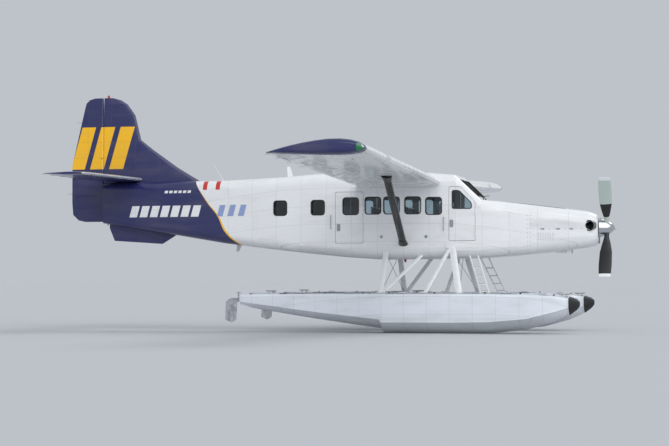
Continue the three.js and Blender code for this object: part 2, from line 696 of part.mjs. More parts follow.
function cabinSeats() {
  const rails = [1, -1].map((side) => block(
    [CABIN_ROWS[0], CABIN_ROWS.at(-1) + SEAT_LENGTH], [side * SEAT_SIDE - RAIL.half, side * SEAT_SIDE + RAIL.half],
    [FLOOR_TOP, FLOOR_TOP + RAIL.height]));
  return union([...CABIN_ROWS.flatMap(seatRow), ...rails, crossBeam(CABIN_ROWS[0])]);
}

const instrumentPanel = () => union(Object.values(PANEL).map(([stations, half, heights]) => (
  block(stations, [-half, half], heights))));

add("instrument_panel", instrumentPanel(), panelBlack);
add("crew_seats", crewSeats(), upholstery);
add("cabin_seats", cabinSeats(), upholstery);

// Tail cone, with the fin under it
const coneOutside = hull(CABIN_END + SEAM, CONE_END);
const coneInside = hull(CABIN_END - 10, CONE_END - 50, CONE_WALL);
const LUG_ROOT = 60;
const NOTCH = 80;
const tailLug = (height, hinge, fixedEnd) => union([
  upright(hinge, 0, [height, height + LUG], LUG_RADIUS),
  block([fixedEnd - LUG_ROOT, hinge], [-LUG_RADIUS, LUG_RADIUS], [height, height + LUG])]);
const FIN_REAR = RUDDER_HINGE - RUDDER[4][2] - HINGE_GAP;

const ventral = sidePrism(VENTRAL_FIN, -VENTRAL_HALF, VENTRAL_HALF).subtract(coneInside);
add("tail_cone", union([
  coneOutside.subtract(coneInside), ventral, tailLug(RUDDER_LUGS[0], RUDDER_HINGE, CONE_END)]), navyPaint);

// A fixed surface's section from its leading edge to a flat rear face
const FIXED_SHAPE = [[0.015, 0.28], [0.08, 0.62], [0.25, 0.92], [0.5, 1], [1, 0.94]];
function fixedSection(front, rear, half) {
  const upper = FIXED_SHAPE.map(([along, share]) => [front + along * (rear - front), share * half]);
  return [[front, 0], ...upper, ...upper.map(([along, off]) => [along, -off]).reverse()];
}

// A moving surface's section: a round nose about the hinge, then a taper
function movingSection(hinge, rear, radius) {
  const steps = 8;
  const nose = Array.from({ length: steps + 1 }, (_, i) => {
    const angle = Math.PI * (0.5 + i / steps);
    return [hinge + radius * Math.cos(angle), radius * Math.sin(angle)];
  });
  return [...nose, [rear, -TAIL_EDGE], [rear, TAIL_EDGE]];
}

function fin(grow) {
  return loft(FIN.map(([height, front, half]) => (
    fixedSection(front - grow, FIN_REAR + grow, half + grow).map(([s, off]) => place(s, off, height)))));
}

function rudder() {
  const body = loft(RUDDER.map(([height, rear, radius]) => (
    movingSection(RUDDER_HINGE, rear, radius).map(([s, off]) => place(s, off, height)))));
  const notches = RUDDER_LUGS.map((height) => block(
    [RUDDER_HINGE - LUG_ROOT, RUDDER_HINGE + LUG_RADIUS + HINGE_GAP], [-NOTCH, NOTCH],
    [height - PIN_GAP, height + LUG + PIN_GAP]));
  return cut(body, notches);
}

const finLugs = RUDDER_LUGS.slice(1).map((height) => tailLug(height, RUDDER_HINGE, FIN_REAR));
add("fin", union([fin(0).subtract(wholeFuselage), ...finLugs]), navyPaint);
add("rudder", rudder(), navyPaint);

// Tailplane halves and elevators
const elevatorLug = (side) => union([
  turned(solid(new THREE.CylinderGeometry(LUG_RADIUS, LUG_RADIUS, LUG, 16)), new THREE.Matrix4()
    .setPosition(place(ELEVATOR_HINGE, side + LUG / 2, TAILPLANE_HEIGHT))),
  block([ELEVATOR_HINGE - 2 * LUG_ROOT, ELEVATOR_HINGE], [side, side + LUG],
    [TAILPLANE_HEIGHT - LUG_RADIUS, TAILPLANE_HEIGHT + LUG_RADIUS])]);

function tailplane() {
  const body = loft(TAILPLANE.map(([side, front, half], i) => {
    const rear = ELEVATOR_HINGE - ELEVATOR[i][2] - HINGE_GAP;
    return fixedSection(front, rear, half).map(([s, off]) => place(s, side, TAILPLANE_HEIGHT + off));
  }));
  const whole = union([body, ...ELEVATOR_LUGS.map(elevatorLug)]);
  return cut(whole, [fin(SEAM), wholeFuselage]);
}

function elevator() {
  const body = loft(ELEVATOR.map(([side, rear, radius]) => (
    movingSection(ELEVATOR_HINGE, rear, radius).map(([s, off]) => place(s, side, TAILPLANE_HEIGHT + off)))));
  const notches = ELEVATOR_LUGS.map((side) => block(
    [ELEVATOR_HINGE - LUG_ROOT, ELEVATOR_HINGE + LUG_RADIUS + HINGE_GAP], [side - PIN_GAP, side + LUG + PIN_GAP],
    [TAILPLANE_HEIGHT - NOTCH, TAILPLANE_HEIGHT + NOTCH]));
  return cut(body, [...notches, planPrism(RUDDER_ROOM, TAILPLANE_HEIGHT - NOTCH, TAILPLANE_HEIGHT + NOTCH)]);
}

addPair("tailplane", tailplane(), navyPaint);
addPair("elevator", elevator(), navyPaint);

// Wing: one section carried to the tip, with slots for the flap and the aileron
function wingHeights(t) {
  const half = 5 * THICKNESS * (0.2969 * Math.sqrt(t) - 0.126 * t - 0.3516 * t ** 2 + 0.2843 * t ** 3
    - 0.1036 * t ** 4) + 0.0015 * t;
  const side = t < CAMBER_PEAK ? CAMBER_PEAK : 1 - CAMBER_PEAK;
  const start = t < CAMBER_PEAK ? 0 : 1 - 2 * CAMBER_PEAK;
  const middle = (CAMBER / side ** 2) * (start + 2 * CAMBER_PEAK * t - t ** 2);
  return [CHORD * (middle + half), CHORD * (middle - half)];
}
const underside = (aft) => wingHeights(aft / CHORD)[1];

function wingRing([side, chordShare, thickShare]) {
  const steps = 12;
  const stops = Array.from({ length: steps + 1 }, (_, i) => (1 - Math.cos((Math.PI * i) / steps)) / 2);
  const point = (t, surfaceSide) => {
    const heights = wingHeights(t);
    const middle = (heights[0] + heights[1]) / 2;
    const z = middle + (heights[surfaceSide] - middle) * thickShare;
    return new THREE.Vector3(-CHORD * (0.4 + (t - 0.4) * chordShare), side, z);
  };
  const top = stops.map((t) => point(t, 0));
  const under = stops.slice(1).map((t) => point(t, 1)).reverse();
  return [...top, ...under];
}

// A prism across the wing from an outline of places aft of the leading edge and heights
function wingPrism(outline, inner, outer) {
  const points = outline.map(([aft, height]) => [-aft, height]);
  return solid(extrude(points, outer - inner).applyMatrix4(ACROSS).translate(0, outer, 0));
}

function stripSpace({ pivot: [aft, height], nose }, grow) {
  const radius = nose + grow;
  const steps = 18;
  const arc = Array.from({ length: steps + 1 }, (_, i) => {
    const angle = Math.PI * (i / steps);
    return [aft - radius * Math.sin(angle), height + radius * Math.cos(angle)];
  });
  return [...arc, [CHORD + 200, height - radius], [CHORD + 200, height + radius]];
}

// The wing's bracket runs back to the pivot. The strip's arm hangs beside it.
function bracket({ pivot: [aft, height], nose }, side) {
  const lip = aft - Math.sqrt((nose + SLOT) ** 2 - (underside(aft - nose) - height) ** 2);
  return wingPrism([
    [lip - 230, underside(lip - 230) + 15], [lip - 14, underside(lip - 14) + 15], [lip - 4, underside(lip) - 10],
    [aft + 14, height + 20], [aft + 24, height], [aft + 14, height - 22], [lip - 60, underside(lip) - 30],
  ], side - ARM / 2, side + ARM / 2);
}

function arm({ pivot: [aft, height] }, side) {
  return wingPrism([
    [aft - 24, height], [aft - 14, height + 20], [aft + 8, underside(aft) + 12],
    [aft + 200, underside(aft + 200) + 8], [aft + 20, height - 20], [aft - 14, height - 20],
  ], side + ARM / 2 + PIN_GAP, side + 1.5 * ARM + PIN_GAP);
}

const wingGroups = [1, -1].map((side) => {
  const group = new THREE.Group();
  group.position.copy(place(WING_STATION, 0, WING_HEIGHT));
  group.rotation.set(side * DIHEDRAL, -INCIDENCE, 0);
  group.updateMatrixWorld();
  aircraft.add(group);
  return group;
});
const wingShape = loft(WING_SECTIONS.map(wingRing));

function strip(kind) {
  const body = wingShape.intersect(wingPrism(stripSpace(kind, 0), kind.inner, kind.outer));
  const { pivot: [aft], nose } = kind;
  const notch = rectangle([aft - nose - SEAM, aft - ARM], [-CHORD, CHORD]);
  const notches = kind.name === "aileron" ? kind.arms.map((side) => (
    wingPrism(notch, side - ARM, side + ARM / 2 + PIN_GAP))) : [];
  return union([cut(body, notches), ...kind.arms.map((side) => arm(kind, side))]);
}

function wing() {
  const slots = STRIPS.map((kind) => wingPrism(
    stripSpace(kind, SLOT), kind.inner - STRIP_END_GAP, kind.outer + STRIP_END_GAP));
  const brackets = STRIPS.flatMap((kind) => kind.arms.map((side) => bracket(kind, side)));
  const inWing = new THREE.Matrix4().copy(wingGroups[0].matrixWorld).invert();
  return cut(union([cut(wingShape, slots), ...brackets]), [turned(wholeFuselage, inWing)]);
}

function pitotHead() {
  const { out, mast, drop, tube, radius, half } = PITOT;
  const low = underside(mast[0]) - drop;
  const post = wingPrism(rectangle(mast, [low, underside(mast[0]) + drop]), out - half, out + half);
  const pipe = new THREE.CylinderGeometry(radius, radius, tube[1] - tube[0], 16).rotateZ(Math.PI / 2);
  return union([post, solid(pipe.translate(-(tube[0] + tube[1]) / 2, out, low))])
    .subtract(moved(wingShape, 0, 0, -SEAM));
}

const wingBody = wing();
const strips = STRIPS.map((kind) => [kind.name, strip(kind)]);
wingGroups.forEach((group, i) => {
  const side = ["left", "right"][i];
  const sided = (body) => (i === 0 ? body : mirrored(body));
  add(`wing_${side}`, sided(wingBody), whitePaint, group);
  strips.forEach(([name, body]) => add(`${name}_${side}`, sided(body), whitePaint, group));
});
add("pitot_head", pitotHead(), metal, wingGroups[0]);

// Wing struts, from the fuselage side to the wing's front spar
const STRUT_FOOT = place(4790, 740, -410);
const STRUT_HEAD = place(4510, 4040, 1085);
const STRUT_CHORD = 170;
const STRUT_THICKNESS = 62;
const wingInPlace = turned(wingShape, wingGroups[0].matrixWorld);
addPair("wing_strut", cut(bar(STRUT_FOOT, STRUT_HEAD, STRUT_CHORD, STRUT_THICKNESS), [
  wholeFuselage, moved(wingInPlace, 0, 0, -SEAM)]), blackPaint);

// Floats, with two bottom planes each, a step, and lugs for the water rudder
function floatRing([station, half, deck, chine, keel]) {
  const flare = [FLARE.out * half, keel + FLARE.rise * (chine - keel)];
  const edge = Math.min(DECK_EDGE, half * 0.4);
  const side = [
    [Math.min(KEEL_HALF, half * 0.5), keel], flare, [half, chine], [half, deck - edge], [half - edge, deck],
  ];
  const right = side.map(([y, height]) => [-y, height]).reverse();
  const ring = [...side, [0, deck + Math.min(DECK_CROWN, half * 0.2)], ...right];
  return ring.map(([y, height]) => place(station, y, height));
}

const floatShape = loft(FLOAT_SECTIONS.map(floatRing));
const waterLugs = WATER_LUGS.map((height) => union([
  upright(WATER_POST, 0, [height, height + WATER_LUG_DEPTH], WATER_LUG_RADIUS),
  block([WATER_LUG_ROOT, WATER_POST], [-WATER_LUG_RADIUS, WATER_LUG_RADIUS], [height, height + WATER_LUG_DEPTH])]));
const floatBody = union([floatShape, ...waterLugs]);

function waterRudder() {
  const [upper, lower] = WATER_LUGS;
  const post = upright(WATER_POST, 0, [lower + WATER_LUG_DEPTH + PIN_GAP, upper - PIN_GAP], WATER_PIN);
  const lugRoom = upright(WATER_POST, 0, [lower - 6, lower + WATER_LUG_DEPTH + 6], WATER_LUG_RADIUS + 6);
  return union([post, sidePrism(WATER_BLADE, -WATER_BLADE_HALF, WATER_BLADE_HALF).subtract(lugRoom)]);
}

// Each fitting is cut by the float moved a little every way, which leaves a seam round it
const aroundFloat = [[1, 0, 0], [-1, 0, 0], [0, 1, 0], [0, -1, 0], [0, 0, 1]].map((way) => (
  moved(floatShape, ...way.map((step) => step * SEAM))));

function bowBumper() {
  const { rear, thickness } = BUMPER;
  const nose = FLOAT_SECTIONS.filter(([station]) => station < rear);
  const rows = nose.map(([station, half, deck, chine, keel], i) => [
    i === 0 ? station - thickness : station, half + thickness, deck + thickness, chine, keel - thickness]);
  return cut(loft([...rows, [rear, ...rows.at(-1).slice(1)]].map(floatRing)), aroundFloat);
}

const floatPieces = [["float", floatBody, floatPaint], ["water_rudder", waterRudder(), floatPaint],
  ["bow_bumper", bowBumper(), rubber]];
[["left", 1], ["right", -1]].forEach(([name, side]) => {
  floatPieces.forEach(([kind, body, finish]) => {
    add(`${kind}_${name}`, side > 0 ? body : mirrored(body), finish).position.y = side * FLOAT_SIDE;
  });
});

// Float struts, each pair joined at its fitting, and the bars between the floats
const leftFloat = moved(floatShape, 0, FLOAT_SIDE, 0);
const rightFloat = mirrored(leftFloat);
const aroundLeftFloat = moved(leftFloat, 0, 0, SEAM).add(moved(leftFloat, 0, -SEAM, 0));
const FRONT_TOP = place(3650, TOP_SIDE, -380);
const FRONT_FOOT = place(FOOT_STATIONS.front, STRUT_SIDE, STRUT_FEET);
const FRONT_BRACE_FOOT = place(FOOT_STATIONS.frontBrace, STRUT_SIDE, STRUT_FEET);
const REAR_TOP = place(5200, TOP_SIDE - 40, -470);
const REAR_FOOT = place(FOOT_STATIONS.rear, STRUT_SIDE, STRUT_FEET);
const REAR_BRACE_TOP = place(4330, TOP_SIDE - 60, -590);

function footPlate(station) {
  const { along, out, low, high } = FOOT_PLATE;
  return block([station - along, station + along], [STRUT_SIDE - out, STRUT_SIDE + out], [low, high]);
}

const trim = (body) => cut(body, [wholeFuselage, aroundLeftFloat]);
addPair("front_float_strut", trim(union([
  bar(FRONT_TOP, FRONT_FOOT, ...MAIN_STRUT), bar(FRONT_TOP, FRONT_BRACE_FOOT, ...BRACE), block(...FRONT_FAIRING),
  footPlate(FOOT_STATIONS.front), footPlate(FOOT_STATIONS.frontBrace)])), floatPaint);
addPair("rear_float_strut", trim(union([
  bar(REAR_TOP, REAR_FOOT, ...REAR_STRUT), bar(REAR_BRACE_TOP, REAR_FOOT, ...BRACE),
  footPlate(FOOT_STATIONS.rear)])), floatPaint);

Object.entries(SPREADER.stations).forEach(([name, station]) => {
  const ends = [-FLOAT_SIDE, FLOAT_SIDE].map((side) => place(station, side, SPREADER.height));
  add(`${name}_spreader_bar`, cut(bar(...ends, SPREADER.chord, SPREADER.thickness), [
    moved(leftFloat, 0, -SEAM, 0), moved(rightFloat, 0, SEAM, 0)]), floatPaint);
});

// Boarding ladders, from the sill of each crew door down to the float deck
function ladder() {
  const { top, foot, half, rail, rung: [wide, thick], rungs } = LADDER;
  const rails = [-half, half].map((shift) => bar(
    place(top[0] + shift, top[1], top[2]), place(foot[0] + shift, foot[1], foot[2]), ...rail));
  const steps = rungs.map((share) => {
    const [station, side, height] = top.map((value, i) => value + share * (foot[i] - value));
    return block([station - half, station + half], [side - wide, side + wide], [height - thick, height + thick]);
  });
  return trim(union([...rails, ...steps]));
}

addPair("boarding_ladder", ladder(), whitePaint);

export default aircraft;
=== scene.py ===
# A single-engined turbine floatplane with a high strutted wing: its finishes, fittings and soft parts.
# Metres. +X is forward, +Y the left side, +Z up, and Z = 0 is the line of the float keels.
import json
import math

import bmesh
import bpy
from mathutils import Matrix, Vector
from mathutils.bvhtree import BVHTree


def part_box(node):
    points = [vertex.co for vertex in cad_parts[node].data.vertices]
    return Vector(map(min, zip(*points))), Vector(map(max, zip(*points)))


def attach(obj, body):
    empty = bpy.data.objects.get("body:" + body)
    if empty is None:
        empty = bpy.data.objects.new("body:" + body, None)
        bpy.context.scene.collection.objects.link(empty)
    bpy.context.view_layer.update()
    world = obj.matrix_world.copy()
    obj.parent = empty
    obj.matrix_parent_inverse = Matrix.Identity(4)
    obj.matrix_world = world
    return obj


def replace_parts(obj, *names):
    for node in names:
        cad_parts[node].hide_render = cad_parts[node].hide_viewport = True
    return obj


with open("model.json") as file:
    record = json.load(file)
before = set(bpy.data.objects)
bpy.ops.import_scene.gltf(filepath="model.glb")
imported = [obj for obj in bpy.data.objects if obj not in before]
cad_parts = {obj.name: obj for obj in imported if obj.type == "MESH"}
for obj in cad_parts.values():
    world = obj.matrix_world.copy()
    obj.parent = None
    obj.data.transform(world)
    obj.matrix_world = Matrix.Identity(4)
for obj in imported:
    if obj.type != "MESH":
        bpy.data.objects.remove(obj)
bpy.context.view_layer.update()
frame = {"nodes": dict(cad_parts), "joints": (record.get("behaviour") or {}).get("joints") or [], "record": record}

JOINTS = {joint["name"]: joint for joint in frame["joints"]}
BODY_OF = {node: body for body, nodes in frame["record"]["behaviour"]["bodies"].items() for node in nodes}
SLOT_OF = {part["node"]: part["material_slot"] for part in frame["record"]["subparts"]}

# Driving places. Stations run aft from the spinner tip, and heights run up from the propeller shaft.
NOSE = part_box("spinner")[1].x
SHAFT = JOINTS["propeller_spin"]["pos_m"][2]
HALF_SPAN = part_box("wing_left")[1].y
FLOAT_SIDE = (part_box("float_left")[0].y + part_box("float_left")[1].y) / 2
CABIN_MIDDLE = 2.75
SIDES = {"left": 1, "right": -1}
UP = Vector((0, 0, 1))

# Cabin windows. Columns: station of the centre, height of the centre, width, height
WINDOWS = {
    "first": (4.07, 0.505, 0.38, 0.40),
    "second": (4.56, 0.522, 0.38, 0.40),
    "third": (5.06, 0.523, 0.38, 0.40),
    "fourth": (5.50, 0.523, 0.38, 0.40),
    "fifth": (6.03, 0.515, 0.38, 0.40),
    "sixth": (6.82, 0.488, 0.33, 0.35),
    "seventh": (7.74, 0.484, 0.33, 0.35),
}
WINDOW_CORNER = 0.07
# The window of each crew door. Columns: station, height
CREW_WINDOW = [(3.195, 0.44), (3.64, 0.44), (3.64, 0.86), (3.47, 0.86), (3.195, 0.58)]
CORNERS = ((-1, -1), (1, -1), (1, 1), (-1, 1))


def x_at(station):
    return NOSE - station


def z_at(height):
    return SHAFT + height


def place(station, side, height):
    return Vector((x_at(station), side, z_at(height)))


# Materials
MM = 0.001
# The colour sockets of a Mix node
MIX_A, MIX_B, MIX_OUT = 6, 7, 2
PAINT_EDGE = 0.003
SEAM_WIDTH = 0.006
RIVET_EDGE = 0.018
# Real rivet heads are 5 mm across at 30 mm. They are drawn about twice as large, so that they show.
RIVET_PITCH = 0.06
RIVET_RADIUS = 0.006

# Paints
WHITE = "ecedee"
NAVY = "20265c"
YELLOW = "ffc10c"
RED = "c8281f"
PALE_BLUE = "8fa3d0"
PALE_GREY = "b9bec6"
FLOAT_GREY = "e3e8ef"
NON_SLIP_GREY = "3c3f44"
ANTI_GLARE_BLACK = "1c1d20"
BLADE_FRONT = "bccac2"
BLADE_BACK = "17181a"
BLADE_TIP_WHITE = "e8eaea"
# What lies on the paints, metals and cloth, or shows through them
GRIME = "857d70"
SEAM_SHADE = "3a3a3c"
EXHAUST_STAIN = "4a443c"
WATER_STAIN = "8d907f"
BOOT_RUBBER = "202022"
CHIPPED_PAINT = "8f9294"
GRAIN_SHADE = "55575a"
CLEAN_OXIDE = "cdd0d4"
DULL_OXIDE = "9da1a6"
RIVET_SHADE = "4a4c50"
HEAT_BLUE = "8b8f98"
HEAT_STRAW = "b8b2a6"
PIPE_SOOT = "6b655d"
WORN_BLOOM = "8a8f98"


def srgb(code):
    """A hex sRGB colour as the linear colour that a shader takes."""
    parts = [int(code[i:i + 2], 16) / 255 for i in (0, 2, 4)]
    return [p / 12.92 if p <= 0.04045 else ((p + 0.055) / 1.055) ** 2.4 for p in parts] + [1.0]


def add(tree, kind, inputs=None, out=0, **settings):
    """Adds a node with its settings and its input values or links, and returns one of its outputs."""
    node = tree.nodes.new("ShaderNode" + kind)
    for name, value in settings.items():
        setattr(node, name, value)
    for name, value in (inputs or {}).items():
        if isinstance(value, bpy.types.NodeSocket):
            tree.links.new(value, node.inputs[name])
        else:
            node.inputs[name].default_value = value
    return node.outputs[out]


def material(name, constants, build=None, *finish):
    """A material with one Principled shader: constants go on its sockets, and build links the rest."""
    made = bpy.data.materials.new(name)
    made.use_nodes = True
    tree = made.node_tree
    shader = tree.nodes["Principled BSDF"]
    for socket, value in constants.items():
        shader.inputs[socket].default_value = value
    for socket, value in (build(tree, *finish) if build else {}).items():
        tree.links.new(value, shader.inputs[socket])
    return made


def axes(tree):
    """The Object coordinates, whole and as x, y and z."""
    whole = add(tree, "TexCoord", out="Object")
    split = add(tree, "SeparateXYZ", {0: whole}).node
    return whole, split.outputs[0], split.outputs[1], split.outputs[2]


def patches(tree, where, size, stretch=(1, 1, 1), detail=3.0):
    """Soft random patches from 0 to 1, about size metres across, drawn out along an axis by stretch."""
    scaled = add(tree, "Mapping", {"Vector": where, "Scale": [1 / (size * s) for s in stretch]})
    return add(tree, "TexNoise", {"Vector": scaled, "Scale": 1.0, "Detail": detail, "Roughness": 0.55})


def step(tree, value, low, high, start=0.0, end=1.0):
    """A smooth change from start, where value is low or less, to end, where it is high or more."""
    return add(tree, "MapRange", {"Value": value, "From Min": low, "From Max": high, "To Min": start,
                                  "To Max": end}, interpolation_type="SMOOTHSTEP")


def both(tree, *masks):
    """The product of masks and shares: 1 only where all of them are 1."""
    result = masks[0]
    for mask in masks[1:]:
        result = add(tree, "Math", {0: result, 1: mask}, operation="MULTIPLY")
    return result


def within(tree, value, low, high, soft=PAINT_EDGE):
    """1 where value lies between low and high, with edges soft metres wide."""
    rise = step(tree, value, low - soft, low + soft)
    return both(tree, rise, step(tree, value, high - soft, high + soft, 1.0, 0.0))


def painted(tree, mask, under, over):
    """One colour over another where the mask is 1."""
    return add(tree, "Mix", {0: mask, MIX_A: under, MIX_B: over}, out=MIX_OUT, data_type="RGBA")


def distance(tree, **offsets):
    """How far a point is from the origin of the given coordinates."""
    point = add(tree, "CombineXYZ", offsets)
    return add(tree, "VectorMath", {0: point}, out="Value", operation="LENGTH")


def leaning(tree, x, z, middle, lean):
    """A coordinate along x whose lines lean forward with height."""
    rise = add(tree, "Math", {0: z, 1: middle}, operation="SUBTRACT")
    return add(tree, "Math", {0: rise, 1: -lean, 2: x}, operation="MULTIPLY_ADD")


def riveted_lines(tree, across, along, pitch):
    """Seams every pitch metres across a coordinate, each with a row of rivets beside it."""
    near = add(tree, "Math", {0: across, 1: pitch / 2}, operation="PINGPONG")
    row = add(tree, "Math", {0: near, 1: RIVET_EDGE}, operation="SUBTRACT")
    stride = add(tree, "Math", {0: along, 1: RIVET_PITCH / 2}, operation="PINGPONG")
    heads = step(tree, distance(tree, X=row, Y=stride), RIVET_RADIUS * 0.4, RIVET_RADIUS, 1.0, 0.0)
    return step(tree, near, 0.0, SEAM_WIDTH, 1.0, 0.0), heads


def riveted_sheet(tree, ribs, rib_pitch, sheet_pitch):
    """Riveted sheet over ribs stepped along an axis: coordinates, seam mask, tone of each panel, normal."""
    where, x, y, z = axes(tree)
    side = add(tree, "Math", {0: y}, operation="ABSOLUTE")
    girth = add(tree, "Math", {0: z, 1: side}, operation="SUBTRACT")
    across, along = {"X": (x, girth), "Y": (y, x), "Z": (z, x)}[ribs]
    lines = [riveted_lines(tree, across, along, rib_pitch), riveted_lines(tree, along, across, sheet_pitch)]
    seam, rivet = (add(tree, "Math", {0: a, 1: b}, operation="MAXIMUM") for a, b in zip(*lines))
    cells = [add(tree, "Math", {0: both(tree, way, 1 / pitch)}, operation="FLOOR")
             for way, pitch in ((across, rib_pitch), (along, sheet_pitch))]
    tone = add(tree, "TexWhiteNoise", {"Vector": add(tree, "CombineXYZ", {"X": cells[0], "Y": cells[1]})})
    heads = add(tree, "Math", {0: rivet, 1: seam}, operation="SUBTRACT")
    dents = patches(tree, where, 0.35, detail=1.0)
    height = add(tree, "Math", {0: dents, 1: 0.6, 2: heads}, operation="MULTIPLY_ADD")
    normal = add(tree, "Bump", {"Strength": 0.7, "Distance": 1.6 * MM, "Height": height})
    return {"where": where, "x": x, "z": z, "side": side, "seam": seam, "tone": tone, "normal": normal}


def enamel(name, colour, ribs, rib_pitch, sheet_pitch, roughness=0.26, dirt=0.10, coat=0.35):
    """Sprayed two-pack enamel over riveted sheet, in one colour or a livery, under streaks of thin grime."""
    def build(tree):
        sheet = riveted_sheet(tree, ribs, rib_pitch, sheet_pitch)
        paint = srgb(colour) if isinstance(colour, str) else colour(tree, sheet)
        streaks = step(tree, patches(tree, sheet["where"], 0.22, (5, 1, 1), 5.0), 0.42, 0.75, 0.0, dirt)
        shade = add(tree, "Math", {0: sheet["tone"], 1: 0.04, 2: streaks}, operation="MULTIPLY_ADD")
        dusty = painted(tree, shade, paint, srgb(GRIME))
        lined = painted(tree, both(tree, sheet["seam"], 0.3), dusty, srgb(SEAM_SHADE))
        dull = add(tree, "MapRange", {"Value": streaks, "From Max": dirt, "To Min": roughness,
                                      "To Max": roughness + 0.18})
        return {"Base Color": lined, "Roughness": dull, "Normal": sheet["normal"]}
    return material(name, {"Coat Weight": coat, "Coat Roughness": 0.08}, build)


# Liveries. Places are metres along X and above the keels, and slopes are metres per metre.
# The navy paint starts at a line that sweeps forward from the fin down to the belly. Columns: height, X
NAVY_EDGE = [(2.04, -2.185), (2.36, -2.545), (2.72, -2.725), (3.02, -2.975), (3.60, -3.355)]
# The yellow line beside it tapers from its full width at its foot to nothing at its top.
YELLOW_LINE = {"top": 3.5, "foot": 2.3, "width": 0.055}
BAR_LEAN = 0.286
WHITE_BARS = {"aft": -5.0, "fore": -3.12, "low": 2.71, "high": 2.98, "pitch": 0.27, "width": 0.20}
BLUE_BARS = {"aft": -2.70, "fore": -1.95, "low": 2.71, "high": 2.98, "pitch": 0.27, "width": 0.15}
SMALL_BARS = {"aft": -4.10, "fore": -3.40, "low": 3.28, "high": 3.34, "pitch": 0.12, "width": 0.085}
YELLOW_BARS = {"aft": -6.50, "fore": -5.05, "low": 3.90, "high": 4.93, "pitch": 0.50, "width": 0.36}
RED_BARS = {"x": -2.885, "z": 3.45, "width": 0.44, "height": 0.21}
NAVY_TIP = 0.25
# The anti-glare panel is wide behind the place where its taper starts, and narrow at its fore end.
ANTI_GLARE = {"aft": 3.0, "taper": 3.6, "fore": 5.5, "wide": 0.50, "narrow": 0.24, "low": 2.78}
# The stain behind the exhaust is a rising band. Its start and end are distances behind the pipe.
STAIN = {"start": 0.1, "end": 1.6, "fade": 0.6, "core": 0.03, "edge": 0.17, "rise": 0.055}
# The exhaust pipe changes colour between these distances from the middle.
TINTED_PIPE = (0.38, 0.44)
WATERLINE = (0.30, 0.46)
DECK_PAINT = {"half": 0.19, "low": 0.865, "high": 0.905, "aft": -0.9, "fore": 4.6}
TAILPLANE_SWEEP = 0.1007
ABRASION_STRIP = 0.06
# Distances from the propeller's axis
BLADE_BOOT = (0.30, 0.62)
BLADE_TIP = 1.22
# Stations, and a height above the propeller shaft
EXHAUST_MIDDLE = 0.52
EXHAUST_REAR = 0.60
TAILPLANE_NOSE = 11.4
EXHAUST_HEIGHT = 0.045


def bars(tree, x, z, spec):
    """A row of slanted bars."""
    half = spec["width"] / 2
    along = leaning(tree, x, z, (spec["low"] + spec["high"]) / 2, BAR_LEAN)
    start = add(tree, "Math", {0: along, 1: spec["aft"] + half}, operation="SUBTRACT")
    turn = add(tree, "Math", {0: start, 1: spec["pitch"] / 2}, operation="PINGPONG")
    bar = step(tree, turn, half - PAINT_EDGE, half + PAINT_EDGE, 1.0, 0.0)
    row = within(tree, along, spec["aft"], spec["fore"])
    return both(tree, bar, row, within(tree, z, spec["low"], spec["high"]))


def tail_livery(tree, sheet):
    """White ahead of a swept edge and navy behind it, with a yellow line that widens towards the belly."""
    x, z = sheet["x"], sheet["z"]
    (low, fore), (high, aft) = NAVY_EDGE[0], NAVY_EDGE[-1]
    share = add(tree, "MapRange", {"Value": z, "From Min": low, "From Max": high})
    curve = add(tree, "FloatCurve", {"Value": share})
    shape = curve.node.mapping.curves[0].points
    shape[0].location = (0, 1)
    shape[1].location = (1, 0)
    for height, along in NAVY_EDGE[1:-1]:
        shape.new((height - low) / (high - low), (along - aft) / (fore - aft))
    curve.node.mapping.update()
    edge = add(tree, "MapRange", {"Value": curve, "To Min": aft, "To Max": fore})
    ahead = add(tree, "Math", {0: x, 1: edge}, operation="SUBTRACT")
    width = add(tree, "MapRange", {
        "Value": z, "From Min": YELLOW_LINE["top"], "From Max": YELLOW_LINE["foot"],
        "To Min": 0.0, "To Max": YELLOW_LINE["width"]})
    beyond = add(tree, "Math", {0: ahead, 1: width}, operation="SUBTRACT")
    line = both(tree, step(tree, ahead, -PAINT_EDGE, PAINT_EDGE),
                step(tree, beyond, -PAINT_EDGE, PAINT_EDGE, 1.0, 0.0))
    navy = step(tree, ahead, -PAINT_EDGE, PAINT_EDGE, 1.0, 0.0)
    colour = painted(tree, navy, srgb(WHITE), srgb(NAVY))
    colour = painted(tree, line, colour, srgb(YELLOW))
    for spec, code in ((WHITE_BARS, WHITE), (SMALL_BARS, WHITE), (BLUE_BARS, PALE_BLUE)):
        colour = painted(tree, bars(tree, x, z, spec), colour, srgb(code))
    from_middle = add(tree, "Math", {0: x, 1: RED_BARS["x"]}, operation="SUBTRACT")
    off = add(tree, "Math", {0: from_middle}, operation="ABSOLUTE")
    ends = within(tree, off, RED_BARS["width"] / 4, RED_BARS["width"] / 2)
    half = RED_BARS["height"] / 2
    tall = within(tree, z, RED_BARS["z"] - half, RED_BARS["z"] + half)
    return painted(tree, both(tree, ends, tall), colour, srgb(RED))


def fin_livery(tree, sheet):
    """Navy with three slanted yellow bars across the fin and the rudder."""
    return painted(tree, bars(tree, sheet["x"], sheet["z"], YELLOW_BARS), srgb(NAVY), srgb(YELLOW))


def wing_livery(tree, sheet):
    """White, with navy tips."""
    start = HALF_SPAN - NAVY_TIP
    tip = step(tree, sheet["side"], start - PAINT_EDGE, start + PAINT_EDGE)
    return painted(tree, tip, srgb(WHITE), srgb(NAVY))


